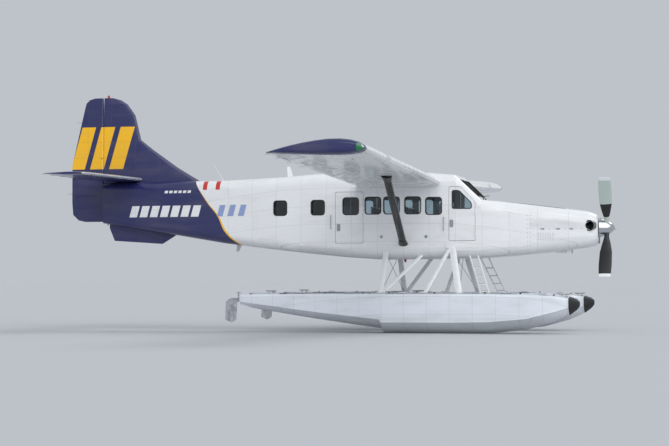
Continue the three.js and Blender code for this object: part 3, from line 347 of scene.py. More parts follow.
def nose_livery(tree, sheet):
    """White, with a black anti-glare panel along the top and soot behind the exhaust mouths."""
    x, side, z = sheet["x"], sheet["side"], sheet["z"]
    half = add(tree, "MapRange", {
        "Value": x, "From Min": ANTI_GLARE["taper"], "From Max": ANTI_GLARE["fore"],
        "To Min": ANTI_GLARE["wide"], "To Max": ANTI_GLARE["narrow"]})
    beside = add(tree, "Math", {0: side, 1: half}, operation="SUBTRACT")
    panel = both(tree, step(tree, beside, -0.004, 0.004, 1.0, 0.0),
                 within(tree, x, ANTI_GLARE["aft"], ANTI_GLARE["fore"]),
                 step(tree, z, ANTI_GLARE["low"], ANTI_GLARE["low"] + 0.01))
    above = add(tree, "Math", {0: z, 1: z_at(EXHAUST_HEIGHT)}, operation="SUBTRACT")
    behind = add(tree, "Math", {0: x_at(EXHAUST_REAR), 1: x}, operation="SUBTRACT")
    off = add(tree, "Math", {0: behind, 1: -STAIN["rise"], 2: above}, operation="MULTIPLY_ADD")
    band = step(tree, distance(tree, X=off), STAIN["core"], STAIN["edge"], 1.0, 0.0)
    smoke = patches(tree, sheet["where"], 0.12, (4, 1, 1))
    length = within(tree, behind, STAIN["start"], STAIN["end"], STAIN["fade"])
    soot = both(tree, band, length, smoke, 0.35)
    colour = painted(tree, panel, srgb(WHITE), srgb(ANTI_GLARE_BLACK))
    return painted(tree, soot, colour, srgb(EXHAUST_STAIN))


def float_livery(tree, sheet):
    """Pale grey, with a faint waterline stain and dark non-slip paint down the middle of the deck."""
    wetted = step(tree, sheet["z"], *WATERLINE, 1.0, 0.0)
    stain = both(tree, wetted, patches(tree, sheet["where"], 0.3, (3, 1, 1)), 0.35)
    colour = painted(tree, stain, srgb(FLOAT_GREY), srgb(WATER_STAIN))
    middle = add(tree, "Math", {0: sheet["side"], 1: FLOAT_SIDE}, operation="SUBTRACT")
    half = DECK_PAINT["half"]
    deck = both(tree, step(tree, distance(tree, X=middle), half, half + 0.005, 1.0, 0.0),
                within(tree, sheet["z"], DECK_PAINT["low"], DECK_PAINT["high"]),
                within(tree, sheet["x"], DECK_PAINT["aft"], DECK_PAINT["fore"]))
    return painted(tree, deck, colour, srgb(NON_SLIP_GREY))


def tailplane_livery(tree, sheet):
    """Navy, with a pale grey abrasion strip along the leading edge."""
    unswept = add(tree, "Math", {0: sheet["side"], 1: TAILPLANE_SWEEP, 2: sheet["x"]},
                  operation="MULTIPLY_ADD")
    start = x_at(TAILPLANE_NOSE) - ABRASION_STRIP
    return painted(tree, step(tree, unswept, start, start + 0.005), srgb(NAVY), srgb(PALE_GREY))


def blade_paint(tree):
    """Pale grey front faces and black backs, with rubber boots, white tips and worn chips."""
    where, _, y, z = axes(tree)
    up = add(tree, "Math", {0: z, 1: SHAFT}, operation="SUBTRACT")
    radius = distance(tree, Y=y, Z=up)
    # A blade's front face leans round the axis one way, and its back face the other way.
    down = add(tree, "Math", {0: up, 1: -1.0}, operation="MULTIPLY")
    round_way = add(tree, "CombineXYZ", {"Y": down, "Z": y})
    facing = add(tree, "TexCoord", out="Normal")
    turn = add(tree, "VectorMath", {0: facing, 1: round_way}, out="Value", operation="DOT_PRODUCT")
    colour = painted(tree, step(tree, turn, -0.005, 0.005), srgb(BLADE_BACK), srgb(BLADE_FRONT))
    colour = painted(tree, within(tree, radius, *BLADE_BOOT), colour, srgb(BOOT_RUBBER))
    colour = painted(tree, step(tree, radius, BLADE_TIP, BLADE_TIP + 0.005), colour, srgb(BLADE_TIP_WHITE))
    chips = step(tree, patches(tree, where, 20 * MM, (1, 1, 4), 4.0), 0.70, 0.76, 0.0, 0.4)
    return {"Base Color": painted(tree, chips, colour, srgb(CHIPPED_PAINT))}


def brushed(tree, colour, grain_size, stretch, bump):
    """Fine brushing or grain on bare metal: a tone and a small relief."""
    grain = patches(tree, axes(tree)[0], grain_size, stretch, 4.0)
    tone = painted(tree, both(tree, grain, 0.35), srgb(colour), srgb(GRAIN_SHADE))
    normal = add(tree, "Bump", {"Strength": 0.3, "Distance": bump, "Height": grain})
    return {"Base Color": tone, "Normal": normal}


def weathered_sheet(tree):
    """Bare sheet with rivet rows, under cloudy patches of oxide and water marks."""
    sheet = riveted_sheet(tree, "Z", 0.25, 0.29)
    cloud = step(tree, patches(tree, sheet["where"], 90 * MM, (1, 1, 2), 5.0), 0.35, 0.70)
    tone = painted(tree, cloud, srgb(CLEAN_OXIDE), srgb(DULL_OXIDE))
    dull = step(tree, cloud, 0.0, 1.0, 0.34, 0.55)
    return {"Base Color": painted(tree, both(tree, sheet["seam"], 0.45), tone, srgb(RIVET_SHADE)),
            "Roughness": dull, "Normal": sheet["normal"]}


def heat_tint(tree):
    """Heated steel, bluish beside the cowling and straw-coloured at the mouth, under patches of soot."""
    where, _, y, _ = axes(tree)
    out = add(tree, "Math", {0: y}, operation="ABSOLUTE")
    tint = painted(tree, step(tree, out, *TINTED_PIPE), srgb(HEAT_BLUE), srgb(HEAT_STRAW))
    soot = both(tree, patches(tree, where, 50 * MM), 0.4)
    return {"Base Color": painted(tree, soot, tint, srgb(PIPE_SOOT))}


def woven(tree, colour, light, pitch):
    """A basket weave of threads pitch metres apart, with a worn bloom on it. The raised threads take the light
    colour and the hollows the base colour: painted highlight and painted shade that follow the relief.
    """
    where, *ways = axes(tree)
    turns = [both(tree, way, 2 * math.pi / pitch) for way in ways]
    x, y, z = (add(tree, "Math", {0: turn}, operation="SINE") for turn in turns)
    weave = both(tree, add(tree, "Math", {0: x, 1: z}, operation="ADD"), y)
    # Painted highlight and shade: the colour follows the weave's relief, lighter on the raised threads and darker
    # in the hollows between them.
    tone = painted(tree, step(tree, weave, -1.2, 1.2), srgb(colour), srgb(light))
    worn = painted(tree, both(tree, patches(tree, where, 80 * MM), 0.25), tone, srgb(WORN_BLOOM))
    normal = add(tree, "Bump", {"Strength": 0.5, "Distance": 1 * MM, "Height": weave})
    return {"Base Color": worn, "Normal": normal}


def speckled(tree, colour, dark, grain_size, bump):
    """A moulded or cast surface with a fine grain."""
    grain = patches(tree, axes(tree)[0], grain_size, detail=4.0)
    tone = painted(tree, both(tree, grain, 0.5), srgb(colour), srgb(dark))
    normal = add(tree, "Bump", {"Strength": 0.4, "Distance": bump, "Height": grain})
    return {"Base Color": tone, "Normal": normal}


def smudged(tree):
    """Clear all over, with wiped patches that are a little less sharp."""
    wiped = patches(tree, axes(tree)[0], 150 * MM, detail=4.0)
    return {"Roughness": step(tree, wiped, 0.35, 0.75, 0.01, 0.09)}


# Enamel, sprayed on riveted aluminium sheet: a bright gloss that shows seams, rivet rows and shallow dents.
# The numbers are the real pitches of ribs and sheets in metres, along the axis that the ribs step along.
body_enamel = enamel("sprayed_enamel_white_body", WHITE, "X", 0.61, 0.42)
nose_enamel = enamel("sprayed_enamel_white_nose", nose_livery, "X", 0.70, 0.55)
tail_enamel = enamel("sprayed_enamel_navy_tail_cone", tail_livery, "X", 0.61, 0.42)
fin_enamel = enamel("sprayed_enamel_navy_fin", fin_livery, "Z", 0.38, 0.62)
tailplane_enamel = enamel("sprayed_enamel_navy_tailplane", tailplane_livery, "Y", 0.40, 0.50)
elevator_enamel = enamel("sprayed_enamel_navy_elevator", NAVY, "Y", 0.20, 0.50)
wing_enamel = enamel("sprayed_enamel_white_wing", wing_livery, "Y", 0.44, 0.66)
strip_enamel = enamel("sprayed_enamel_white_flap", WHITE, "Y", 0.22, 0.70)
float_enamel = enamel("sprayed_enamel_grey_float", float_livery, "X", 0.52, 0.40,
                      roughness=0.32, dirt=0.16, coat=0.2)
white_enamel = enamel("sprayed_enamel_white_fittings", WHITE, "X", 0.90, 0.90)
strut_enamel = enamel("sprayed_enamel_black_struts", "16171a", "Z", 0.90, 0.90, roughness=0.3, dirt=0.06)

# Aluminium, spun and polished: it mirrors its surroundings. The rings left by the tool are drawn 4 mm apart.
spun_aluminium = material("polished_spun_aluminium", {"Metallic": 1.0, "Roughness": 0.16},
                          brushed, "d4d7db", 4 * MM, (1, 8, 8), 0.1 * MM)
# Aluminium sheet and bar, rolled and left bare: soft streaks along the grain, drawn 3 mm wide.
bare_aluminium = material("rolled_bare_aluminium", {"Metallic": 1.0, "Roughness": 0.38},
                          brushed, "b5b8bc", 3 * MM, (12, 1, 1), 0.2 * MM)
# Aluminium sheet on the water rudders, riveted and never painted: cloudy, in patches about 90 mm wide.
rudder_sheet = material("weathered_bare_aluminium_sheet", {"Metallic": 1.0}, weathered_sheet)
# Stainless steel, rolled and welded: straw and blue where the gas has heated it.
exhaust_steel = material("heat_tinted_stainless_steel", {"Metallic": 1.0, "Roughness": 0.3}, heat_tint)
# Steel under soot inside the exhaust pipes: dead black, with 10 mm crusts. The soot is real, and its near-black,
# darker than soot, is painted shade deep in the pipes.
sooted_black_with_painted_shade = material("sooted_steel", {"Roughness": 0.85},
                      speckled, "131211", "060606", 10 * MM, 0.4 * MM)
# Magnesium and steel castings: dull dark grey with the 4 mm pits of sand casting.
cast_iron = material("sand_cast_engine_metal", {"Metallic": 0.7, "Roughness": 0.55},
                     speckled, "47494c", "232426", 4 * MM, 0.6 * MM)
# Polyurethane paint, sprayed satin on the blades: even, with chips of 20 mm and less that stones have left.
propeller_paint = material("sprayed_satin_blade_paint", {"Roughness": 0.38}, blade_paint)
# Rubber, moulded: dull, with a chalky bloom. Its grain of about 1 mm is drawn at 4 mm, so that it shows.
black_rubber = material("moulded_black_rubber", {"Roughness": 0.62},
                        speckled, "242527", "141415", 4 * MM, 0.3 * MM)
# ABS, moulded matt: its spark texture of 0.5 mm is drawn at 2 mm, so that it shows.
panel_plastic = material("moulded_matt_black_abs", {"Roughness": 0.6},
                         speckled, "232427", "151618", 2 * MM, 0.3 * MM)
# Vinyl, pressed with a leather grain: its 1 mm grain is drawn at 3 mm, so that it shows.
lining_vinyl = material("grained_grey_vinyl_lining", {"Roughness": 0.7},
                        speckled, "b2b1ad", "96948f", 3 * MM, 0.5 * MM)
# Nylon carpet, looped: matt, and dark between its loops, which are 3 mm wide and drawn at 5 mm.
carpet = material("looped_nylon_carpet", {"Roughness": 0.95, "Sheen Weight": 0.2},
                  speckled, "565a63", "3a3d44", 5 * MM, 2 * MM)
# Wool cloth, flat-woven: matt with a soft sheen at its edges. Its 1.5 mm threads are drawn at 6 mm, with painted
# highlight on the raised threads and painted shade between them.
seat_cloth = material("woven_wool_seat_cloth",
                      {"Roughness": 0.85, "Sheen Weight": 0.35, "Sheen Roughness": 0.4},
                      woven, "3a4458", "5a667c", 6 * MM)
# Nylon webbing, woven tight: its 1 mm ribs are drawn at 4 mm, with painted highlight on the raised ribs and
# painted shade between them.
belt_webbing = material("woven_nylon_webbing", {"Roughness": 0.75}, woven, "1e2024", "33363c", 4 * MM)
# Acrylic sheet, stretched and polished: clear and faintly green, with sharp reflections and wiped smudges.
acrylic = material("stretched_acrylic_glazing",
                   {"Base Color": srgb("cfdde2"), "IOR": 1.49, "Transmission Weight": 1.0,
                    "Specular IOR Level": 0.6}, smudged)
# Printed enamel on the dials: flat white.
dial_white = material("printed_dial_white", {"Roughness": 0.5},
                      speckled, "e6e6e0", "cfcfc8", 3 * MM, 0.1 * MM)
# Polycarbonate lenses, moulded: glossy and deep in colour, over a 10 mm prism pattern.
TINTED_LENS = {"Roughness": 0.12, "Coat Weight": 0.6, "Transmission Weight": 0.25}
CLEAR_LENS = {"Roughness": 0.08, "Coat Weight": 0.6, "Transmission Weight": 0.3}
lens_red = material("moulded_red_lens", TINTED_LENS, speckled, "c01a14", "8e100c", 10 * MM, 0.1 * MM)
lens_green = material("moulded_green_lens", TINTED_LENS, speckled, "0f8a4a", "0a6033", 10 * MM, 0.1 * MM)
lens_clear = material("moulded_clear_lens", CLEAR_LENS, speckled, "dfe4e6", "c4cbce", 10 * MM, 0.1 * MM)

# Door handles. Columns: station, height, side
HANDLES = {
    "crew_door_left": (3.655, 0.10, 1),
    "crew_door_right": (3.655, 0.10, -1),
    "cabin_door_forward": (5.685, 0.02, 1),
    "cabin_door_aft": (5.835, 0.02, 1),
    "cabin_door_right": (6.32, 0.02, -1),
}
HANDLE_PROUD = 0.038
HANDLE_HALF = (0.02, 0.08)
# How near two points are that count as one, in the frame's nodes and in the fittings
NODE_MERGE = 0.05 * MM
FITTING_MERGE = 0.02 * MM
# Degrees: faces that meet at less than FLAT are one face, at more than SHARP an edge, which may be bevelled
# where they meet at more than BEVELLED.
FLAT = 0.3
SHARP = 33
BEVELLED = 38


def meshed(name, bm):
    """The mesh of a bmesh, which it frees."""
    mesh = bpy.data.meshes.new(name)
    bm.to_mesh(mesh)
    bm.free()
    return mesh


def poured(part, bm):
    """Adds one bmesh to another, and frees it."""
    holder = meshed("holder", part)
    bm.from_mesh(holder)
    bpy.data.meshes.remove(holder)


def in_scene(name, data):
    """A new object in the scene."""
    made = bpy.data.objects.new(name, data)
    bpy.context.scene.collection.objects.link(made)
    return made


def finished(name, bm, body, finishes, angle=SHARP, bevel=0.0, slot=None):
    """Turns a bmesh into a piece that rides on a body, shaded smooth up to an angle in degrees."""
    mesh = meshed(name, bm)
    mesh.shade_smooth()
    mesh.set_sharp_from_angle(angle=math.radians(angle))
    for finish in finishes:
        mesh.materials.append(finish)
    made = in_scene(name, mesh)
    if bevel:
        soft = made.modifiers.new("edges", "BEVEL")
        soft.width, soft.segments, soft.limit_method = bevel, 2, "ANGLE"
        soft.angle_limit = math.radians(BEVELLED)
        soft.harden_normals = False
    normals = made.modifiers.new("normals", "WEIGHTED_NORMAL")
    normals.keep_sharp = True
    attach(made, body)
    return made


# Copies of the frame's nodes that take their place with merged, smooth-shaded surfaces
def merged(node):
    """A bmesh of one node, with its loose triangles joined."""
    bm = bmesh.new()
    bm.from_mesh(frame["nodes"][node].data)
    bmesh.ops.remove_doubles(bm, verts=bm.verts, dist=NODE_MERGE)
    return bm


def dressed(node, finishes, pick=None, angle=SHARP, bevel=0.0):
    """A merged, smooth copy of one node, which it replaces. Pick gives a face its place in the finishes."""
    bm = merged(node)
    bmesh.ops.dissolve_limit(bm, angle_limit=math.radians(FLAT), verts=bm.verts, edges=bm.edges)
    for face in bm.faces:
        face.material_index = pick(face) if pick else 0
    skin = finished(node + "_skin", bm, BODY_OF[node], finishes, angle, bevel, SLOT_OF[node])
    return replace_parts(skin, node)


def looks_back(face, way, share):
    """1 for a face that looks against a way, by more than a share of its normal, else 0."""
    return int(face.normal.dot(way.normalized()) < -share)


def faces_cabin(face):
    """1 for the faces of a wall, roof or floor that look into the cabin, else 0."""
    middle = face.calc_center_median()
    return looks_back(face, Vector((0, middle.y, middle.z - CABIN_MIDDLE)), 0.45)


def door_faces(door):
    """A pick for a door leaf: 2 for its handle, 1 for the lining inside it and 0 for its skin."""
    station, height, side = HANDLES[door]
    flank = max(side * corner.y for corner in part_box(door)) - HANDLE_PROUD
    def pick(face):
        middle = face.calc_center_median()
        off = abs(middle.x - x_at(station)), abs(middle.z - z_at(height))
        near = off[0] < HANDLE_HALF[0] and off[1] < HANDLE_HALF[1]
        return 2 if near and side * middle.y > flank + 0.004 else faces_cabin(face)
    return pick


def faces_pipe(face):
    """1 for the faces inside an exhaust pipe, else 0."""
    middle = face.calc_center_median()
    way = Vector((middle.x - x_at(EXHAUST_MIDDLE), 0, middle.z - z_at(EXHAUST_HEIGHT)))
    return looks_back(face, way, 0.3)


for node, finish in {
    "cowling": nose_enamel, "nose_deck": nose_enamel, "tail_cone": tail_enamel, "fin": fin_enamel,
    "rudder": fin_enamel, "front_spreader_bar": white_enamel, "rear_spreader_bar": white_enamel,
    "spinner": spun_aluminium, "propeller": propeller_paint, "engine": cast_iron,
    "oil_cooler_scoop": white_enamel, "pitot_head": bare_aluminium,
}.items():
    dressed(node, [finish])
for node in ("cabin_roof", "cabin_wall_left", "cabin_wall_right", "windscreen_frame", "rear_bulkhead"):
    dressed(node, [body_enamel, lining_vinyl], faces_cabin)
for node in HANDLES:
    dressed(node, [body_enamel, lining_vinyl, bare_aluminium], door_faces(node))
dressed("cabin_floor", [body_enamel, carpet], faces_cabin)
dressed("instrument_panel", [panel_plastic], bevel=0.008)
for node in ("windscreen", "cabin_glass_left", "cabin_glass_right", "crew_door_pane_left",
             "crew_door_pane_right", "cabin_door_forward_pane", "cabin_door_aft_pane",
             "cabin_door_right_pane"):
    dressed(node, [acrylic])
for side in SIDES:
    dressed(f"wing_{side}", [wing_enamel], angle=30)
    dressed(f"flap_{side}", [strip_enamel])
    dressed(f"aileron_{side}", [strip_enamel])
    dressed(f"tailplane_{side}", [tailplane_enamel])
    dressed(f"elevator_{side}", [elevator_enamel])
    dressed(f"wing_strut_{side}", [strut_enamel])
    dressed(f"float_{side}", [float_enamel], angle=24, bevel=0.008)
    dressed(f"bow_bumper_{side}", [black_rubber], angle=40)
    dressed(f"water_rudder_{side}", [rudder_sheet])
    dressed(f"front_float_strut_{side}", [white_enamel])
    dressed(f"rear_float_strut_{side}", [white_enamel])
    dressed(f"boarding_ladder_{side}", [white_enamel])
    # The inner faces of each exhaust pipe take the sooted black, which is partly painted shade.
    dressed(f"exhaust_{side}", [exhaust_steel, sooted_black_with_painted_shade], faces_pipe)


# Shapes for fittings
def between(start, end, forward="Z", upward="Y"):
    """The matrix of a shape that is centred between two points and turned to run from one to the other."""
    turn = (Vector(end) - Vector(start)).to_track_quat(forward, upward).to_matrix().to_4x4()
    turn.translation = (Vector(start) + Vector(end)) / 2
    return turn


def rod(bm, start, end, radius, end_radius=None, sides=12):
    """A round bar between two points, tapered if it has an end radius."""
    bmesh.ops.create_cone(bm, cap_ends=True, segments=sides, radius1=radius,
                          radius2=radius if end_radius is None else end_radius,
                          depth=(Vector(end) - Vector(start)).length, matrix=between(start, end))


def rods(bm, pairs, radius, sides=12):
    """Round bars that are alike."""
    for start, end in pairs:
        rod(bm, start, end, radius, sides=sides)


def slab(bm, centre, size, bevel=0.004, turn=None):
    """A block with softened edges."""
    matrix = Matrix.Translation(centre) @ (turn or Matrix()) @ Matrix.Diagonal((*size, 1))
    made = bmesh.ops.create_cube(bm, size=1, matrix=matrix)
    edges = list(dict.fromkeys(edge for vert in made["verts"] for edge in vert.link_edges))
    bmesh.ops.bevel(bm, geom=edges, offset=bevel, segments=2, profile=0.5, affect="EDGES", material=-1)


def lathe(bm, profile, centre, axis, steps=24):
    """Spins a profile of (radius, distance along) points about an axis through centre."""
    turn = Vector(axis).to_track_quat("Z", "Y").to_matrix().to_4x4()
    turn.translation = centre
    verts = [bm.verts.new(turn @ Vector((radius, 0, along))) for radius, along in profile]
    edges = [bm.edges.new(pair) for pair in zip(verts, verts[1:])]
    bmesh.ops.spin(bm, geom=verts + edges, cent=centre, axis=axis, angle=2 * math.pi, steps=steps,
                   use_merge=True)


def plate(bm, outline, press, outward, lift=0.0, thick=0.003, corner=0.0, ring=0.0, cell=0.12):
    """A thin plate, or a frame ring metres wide, cut to an outline and pressed onto a skin."""
    part = bmesh.new()
    part.faces.new([part.verts.new(point) for point in outline])
    if corner:
        bmesh.ops.bevel(part, geom=part.verts[:], offset=corner, segments=4, profile=0.5, affect="VERTICES",
                        material=-1)
    if ring:
        bmesh.ops.inset_region(part, faces=part.faces[:], thickness=ring, use_boundary=True,
                               use_even_offset=True)
        middle = max(part.faces, key=lambda face: len(face.verts))
        bmesh.ops.delete(part, geom=[middle], context="FACES")
    # Cuts every cell metres along each axis let the plate follow a curved skin.
    for axis in range(3):
        spots = [vert.co[axis] for vert in part.verts]
        normal = Vector([float(i == axis) for i in range(3)])
        for k in range(math.ceil(min(spots) / cell), math.floor(max(spots) / cell) + 1):
            bmesh.ops.bisect_plane(part, geom=part.verts[:] + part.edges[:] + part.faces[:], dist=0.01 * MM,
                                   plane_co=normal * k * cell, plane_no=normal)
    for vert in part.verts:
        vert.co = press(vert.co) + Vector(outward) * lift
    sheet = part.faces[:] + part.edges[:] + part.verts[:]
    made = bmesh.ops.extrude_face_region(part, geom=sheet, use_keep_orig=True)
    tops = [item for item in made["geom"] if isinstance(item, bmesh.types.BMVert)]
    bmesh.ops.translate(part, verts=tops, vec=Vector(outward) * thick)
    poured(part, bm)


def stud(bm, spot, outward, radius, proud, sides=12):
    """A round head that stands proud of a surface."""
    way = Vector(outward)
    rod(bm, spot - way * proud, spot + way * proud, radius, radius * 0.85, sides)


def pull_bar(bm, start, end, outward, stand, radius):
    """A bar that stands off a surface on two posts."""
    out = Vector(outward) * stand
    reach = (end - start).normalized() * radius
    rods(bm, ((start, start + out), (end, end + out), (start + out - reach, end + out + reach)), radius)


def shell(bm, node, removed, grow):
    """A closed skin over part of a node: each (point, normal) takes away what lies beyond that plane."""
    part = merged(node)
    for point, normal in removed:
        bmesh.ops.bisect_plane(part, geom=part.verts[:] + part.edges[:] + part.faces[:], dist=0.001 * MM,
                               plane_co=point, plane_no=normal, clear_outer=True)
    part.normal_update()
    for vert, way in [(vert, vert.normal.copy()) for vert in part.verts]:
        vert.co += way * grow
    bmesh.ops.solidify(part, geom=part.faces[:], thickness=grow)
    poured(part, bm)


def piece(name, finish, bm, body="airframe", slot=None):
    """Merges and turns outwards what a bmesh holds, and makes it a piece."""
    bmesh.ops.remove_doubles(bm, verts=bm.verts, dist=FITTING_MERGE)
    bmesh.ops.recalc_face_normals(bm, faces=bm.faces)
    return finished(name, bm, body, [finish], slot=slot)


# Skins that fittings are pressed onto
def skin_of(*nodes):
    """The surface of some nodes, for rays to meet."""
    bm = bmesh.new()
    for node in nodes:
        bm.from_mesh(frame["nodes"][node].data)
    tree = BVHTree.FromBMesh(bm)
    bm.free()
    return tree


FUSELAGE = skin_of(
    "cowling", "nose_deck", "windscreen_frame", "cabin_roof", "cabin_floor", "cabin_wall_left",
    "cabin_wall_right", "crew_door_left", "crew_door_right", "cabin_door_forward", "cabin_door_aft",
    "cabin_door_right", "tail_cone")
WING = skin_of("wing_left", "wing_right", "flap_left", "flap_right", "aileron_left", "aileron_right")
BELOW_WINDOWS = z_at(0.23)
REACH = 0.6


def onto(skin, look):
    """Carries a point along look, from REACH in front of it, to the skin that it meets."""
    way = Vector(look)
    def press(point):
        hit = skin.ray_cast(point - way * REACH, way, 2 * REACH)[0]
        return hit if hit else point.copy()
    return press


def onto_flank(side):
    """Carries a point sideways to the flat flank of the fuselage, over windows and door gaps too."""
    inboard = Vector((0, -side, 0))
    def press(point):
        spots = [Vector((point.x + shift, side * 2, BELOW_WINDOWS)) for shift in (-0.012, 0, 0.012)]
        hits = [FUSELAGE.ray_cast(spot, inboard)[0] for spot in spots]
        return Vector((point.x, side * max(abs(hit.y) for hit in hits if hit), point.z))
    return press


def on_side(station, side, height):
    """A place on the skin of a side of the fuselage."""
    return onto(FUSELAGE, (0, -side, 0))(place(station, side * 0.7, height))


def flat(point):
    """For plates that lie flat where their outline is."""
    return point.copy()


def oblong(station, height, width, tall, side):
    """The corners of a window, or of a plate, on a side of the fuselage."""
    return [place(station + a * width / 2, side, height + b * tall / 2) for a, b in CORNERS]


def grown(outline, margin):
    """An outline moved outwards from its middle by a margin on each axis."""
    middle = sum(outline, Vector()) / len(outline)
    return [point + Vector([math.copysign(margin, d) if abs(d) > 1e-6 else 0 for d in point - middle])
            for point in outline]


def sideways(side, out):
    """A step towards a side of the aircraft."""
    return Vector((0, side * out, 0))


# Window seals: black rubber round each pane, from the pane to the outer skin
SEAL = 0.022
SEAL_LAP = 0.008
WALL_DEPTH = 0.044
DOOR_PANE_DEPTH = 0.015
SEAL_PROUD = 0.005
CREW_WINDOW_CORNER = 0.05


def seal(bm, outline, side, depth, corner):
    """One seal round a window, from depth metres under the outer skin to a little proud of it."""
    plate(bm, grown(outline, SEAL_LAP), onto_flank(side), (0, side, 0), lift=-depth,
          thick=depth + SEAL_PROUD, corner=corner, ring=SEAL)


def window_seals(name, body, windows, side, depth):
    bm = bmesh.new()
    for window in windows:
        seal(bm, oblong(*WINDOWS[window], side), side, depth, WINDOW_CORNER + SEAL_LAP)
    piece(name, black_rubber, bm, body)


for side_name, side in SIDES.items():
    fixed = ["first", "second", "third", "sixth", "seventh"] + ([] if side > 0 else ["fourth"])
    window_seals(f"window_seals_{side_name}", "airframe", fixed, side, WALL_DEPTH)
    bm = bmesh.new()
    outline = [place(station, side, height) for station, height in CREW_WINDOW]
    seal(bm, outline, side, DOOR_PANE_DEPTH, CREW_WINDOW_CORNER)
    piece(f"crew_window_seal_{side_name}", black_rubber, bm, f"crew_door_{side_name}")
window_seals("cabin_door_forward_seal", "cabin_door_forward", ["fourth"], 1, DOOR_PANE_DEPTH)
window_seals("cabin_door_aft_seal", "cabin_door_aft", ["fifth"], 1, DOOR_PANE_DEPTH)
window_seals("cabin_door_right_seal", "cabin_door_right", ["fifth"], -1, DOOR_PANE_DEPTH)

# Windscreen: two flat panes in one sloping plane, with a wiper for each
SCREEN_FOOT = (3.0, 0.65)
SCREEN_RUN = 0.6
SCREEN_RISE = 0.575
SCREEN_DEPTH = 0.064
SCREEN_OUT = Vector((SCREEN_RISE, 0, SCREEN_RUN)).normalized()
# Places on the screen: distance out, height
SCREEN_PANE = [(0.035, 0.735), (0.56, 0.735), (0.59, 1.12), (0.035, 1.12)]
WIPER_PIVOT = (0.16, 0.67)
WIPER_END = (0.40, 0.98)
WIPER_BLADE = [(0.30, 0.80), (0.47, 1.09)]


def on_screen(side, height, lift=0.0):
    """A place on the windscreen's outer plane."""
    station = SCREEN_FOOT[0] + (height - SCREEN_FOOT[1]) * SCREEN_RUN / SCREEN_RISE
    return place(station, side, height) + SCREEN_OUT * lift


bm = bmesh.new()
for side in SIDES.values():
    outline = grown([on_screen(side * out, height) for out, height in SCREEN_PANE], SEAL_LAP * 0.75)
    plate(bm, outline, flat, (1, 0, 0), lift=-SCREEN_DEPTH, thick=SCREEN_DEPTH + 0.006, corner=0.05,
          ring=0.02)
piece("windscreen_seals", black_rubber, bm)

bm = bmesh.new()
for side in SIDES.values():
    pivot = on_screen(side * WIPER_PIVOT[0], WIPER_PIVOT[1])
    stud(bm, pivot, SCREEN_OUT, 0.018, 0.03)
    rod(bm, pivot + SCREEN_OUT * 0.028, on_screen(side * WIPER_END[0], WIPER_END[1], 0.02), 0.007, 0.004)
    rod(bm, *[on_screen(side * out, height, 0.014) for out, height in WIPER_BLADE], 0.006, sides=6)
piece("windscreen_wipers", panel_plastic, bm)

# Lock plates behind the door handles, and grab bars
LOCK_PLATE = (0.085, 0.17)
# Columns: station, foot, head
GRAB_BARS = [(3.83, -0.05, 0.24), (6.50, 0.0, 0.30)]
for body, (station, height, side) in HANDLES.items():
    bm = bmesh.new()
    flank = onto_flank(side)
    plate(bm, oblong(station, height, *LOCK_PLATE, side), flank, (0, side, 0), thick=0.004, corner=0.02)
    stud(bm, flank(place(station + 0.026, side, height - 0.062)), (0, side, 0), 0.011, 0.008)
    piece(f"{body}_lock_plate", bare_aluminium, bm, body)

bm = bmesh.new()
for side in SIDES.values():
    for station, *heights in GRAB_BARS:
        ends = [onto_flank(side)(place(station, side, height)) for height in heights]
        pull_bar(bm, *ends, (0, side, 0), 0.045, 0.009)
piece("grab_bars", bare_aluminium, bm)

# Nose: chin intake with its lip and guard
COWL_FACE = 0.365
# Columns: side, height
INTAKE = [(-0.13, -0.345), (0.13, -0.345), (0.13, -0.235), (-0.13, -0.235)]
GUARD_RADIUS = 0.003
bm = bmesh.new()
mouth = [place(COWL_FACE, side, height) for side, height in INTAKE]
plate(bm, grown(mouth, 0.020), flat, (1, 0, 0), lift=-0.002, thick=0.016, corner=0.066, ring=0.022)
piece("intake_lip", bare_aluminium, bm)

bm = bmesh.new()
for side in [0.034 * k for k in range(-3, 4)]:
    ends = [place(COWL_FACE + 0.03, side, height) for height in (-0.35, -0.23)]
    rod(bm, *ends, GUARD_RADIUS, sides=6)
for height in (-0.315, -0.29, -0.265):
    ends = [place(COWL_FACE + 0.032, side, height) for side in (-0.135, 0.135)]
    rod(bm, *ends, GUARD_RADIUS, sides=6)
piece("intake_guard", cast_iron, bm)

# Cooling louvres, and the fasteners and latches of the cowling panels
LOUVRES = [(1.36 + 0.055 * k, -0.20) for k in range(7)]
LOUVRE_SIZE = (0.040, 0.012, 0.17)
FASTENERS = [(0.72 + 0.12 * k, -0.03) for k in range(10)]
FASTENERS += [(station, -0.42 + 0.10 * k) for station in (1.865, 1.935) for k in range(8)]
LATCHES = [(station, -0.03) for station in (0.95, 1.25, 1.60)]
bm = bmesh.new()
for side in SIDES.values():
    turn = Matrix.Rotation(side * math.radians(24), 4, "Z")
    for station, height in LOUVRES:
        slab(bm, on_side(station, side, height) + sideways(side, 0.002), LOUVRE_SIZE, turn=turn)
piece("cooling_louvres", white_enamel, bm)

bm = bmesh.new()
for side in SIDES.values():
    for station, height in FASTENERS:
        stud(bm, on_side(station, side, height), (0, side, 0), 0.010, 0.003)
    for station, height in LATCHES:
        slab(bm, on_side(station, side, height), (0.09, 0.012, 0.035), 0.003)
piece("cowling_fasteners", bare_aluminium, bm)

# Spinner backplate: a flanged ring with a row of screws
BACKPLATE = [(0.205, 0), (0.224, 0), (0.226, 0.006), (0.224, 0.012), (0.205, 0.012), (0.205, 0)]
BACKPLATE_SCREWS = 24
bm = bmesh.new()
lathe(bm, BACKPLATE, place(0.348, 0, 0), (1, 0, 0), 48)
for k in range(BACKPLATE_SCREWS):
    angle = 2 * math.pi * k / BACKPLATE_SCREWS
    out = Vector((0, math.cos(angle), math.sin(angle)))
    stud(bm, place(0.325, 0, 0) + out * 0.218, out, 0.005, 0.003, 8)
piece("spinner_backplate", bare_aluminium, bm, "propeller")

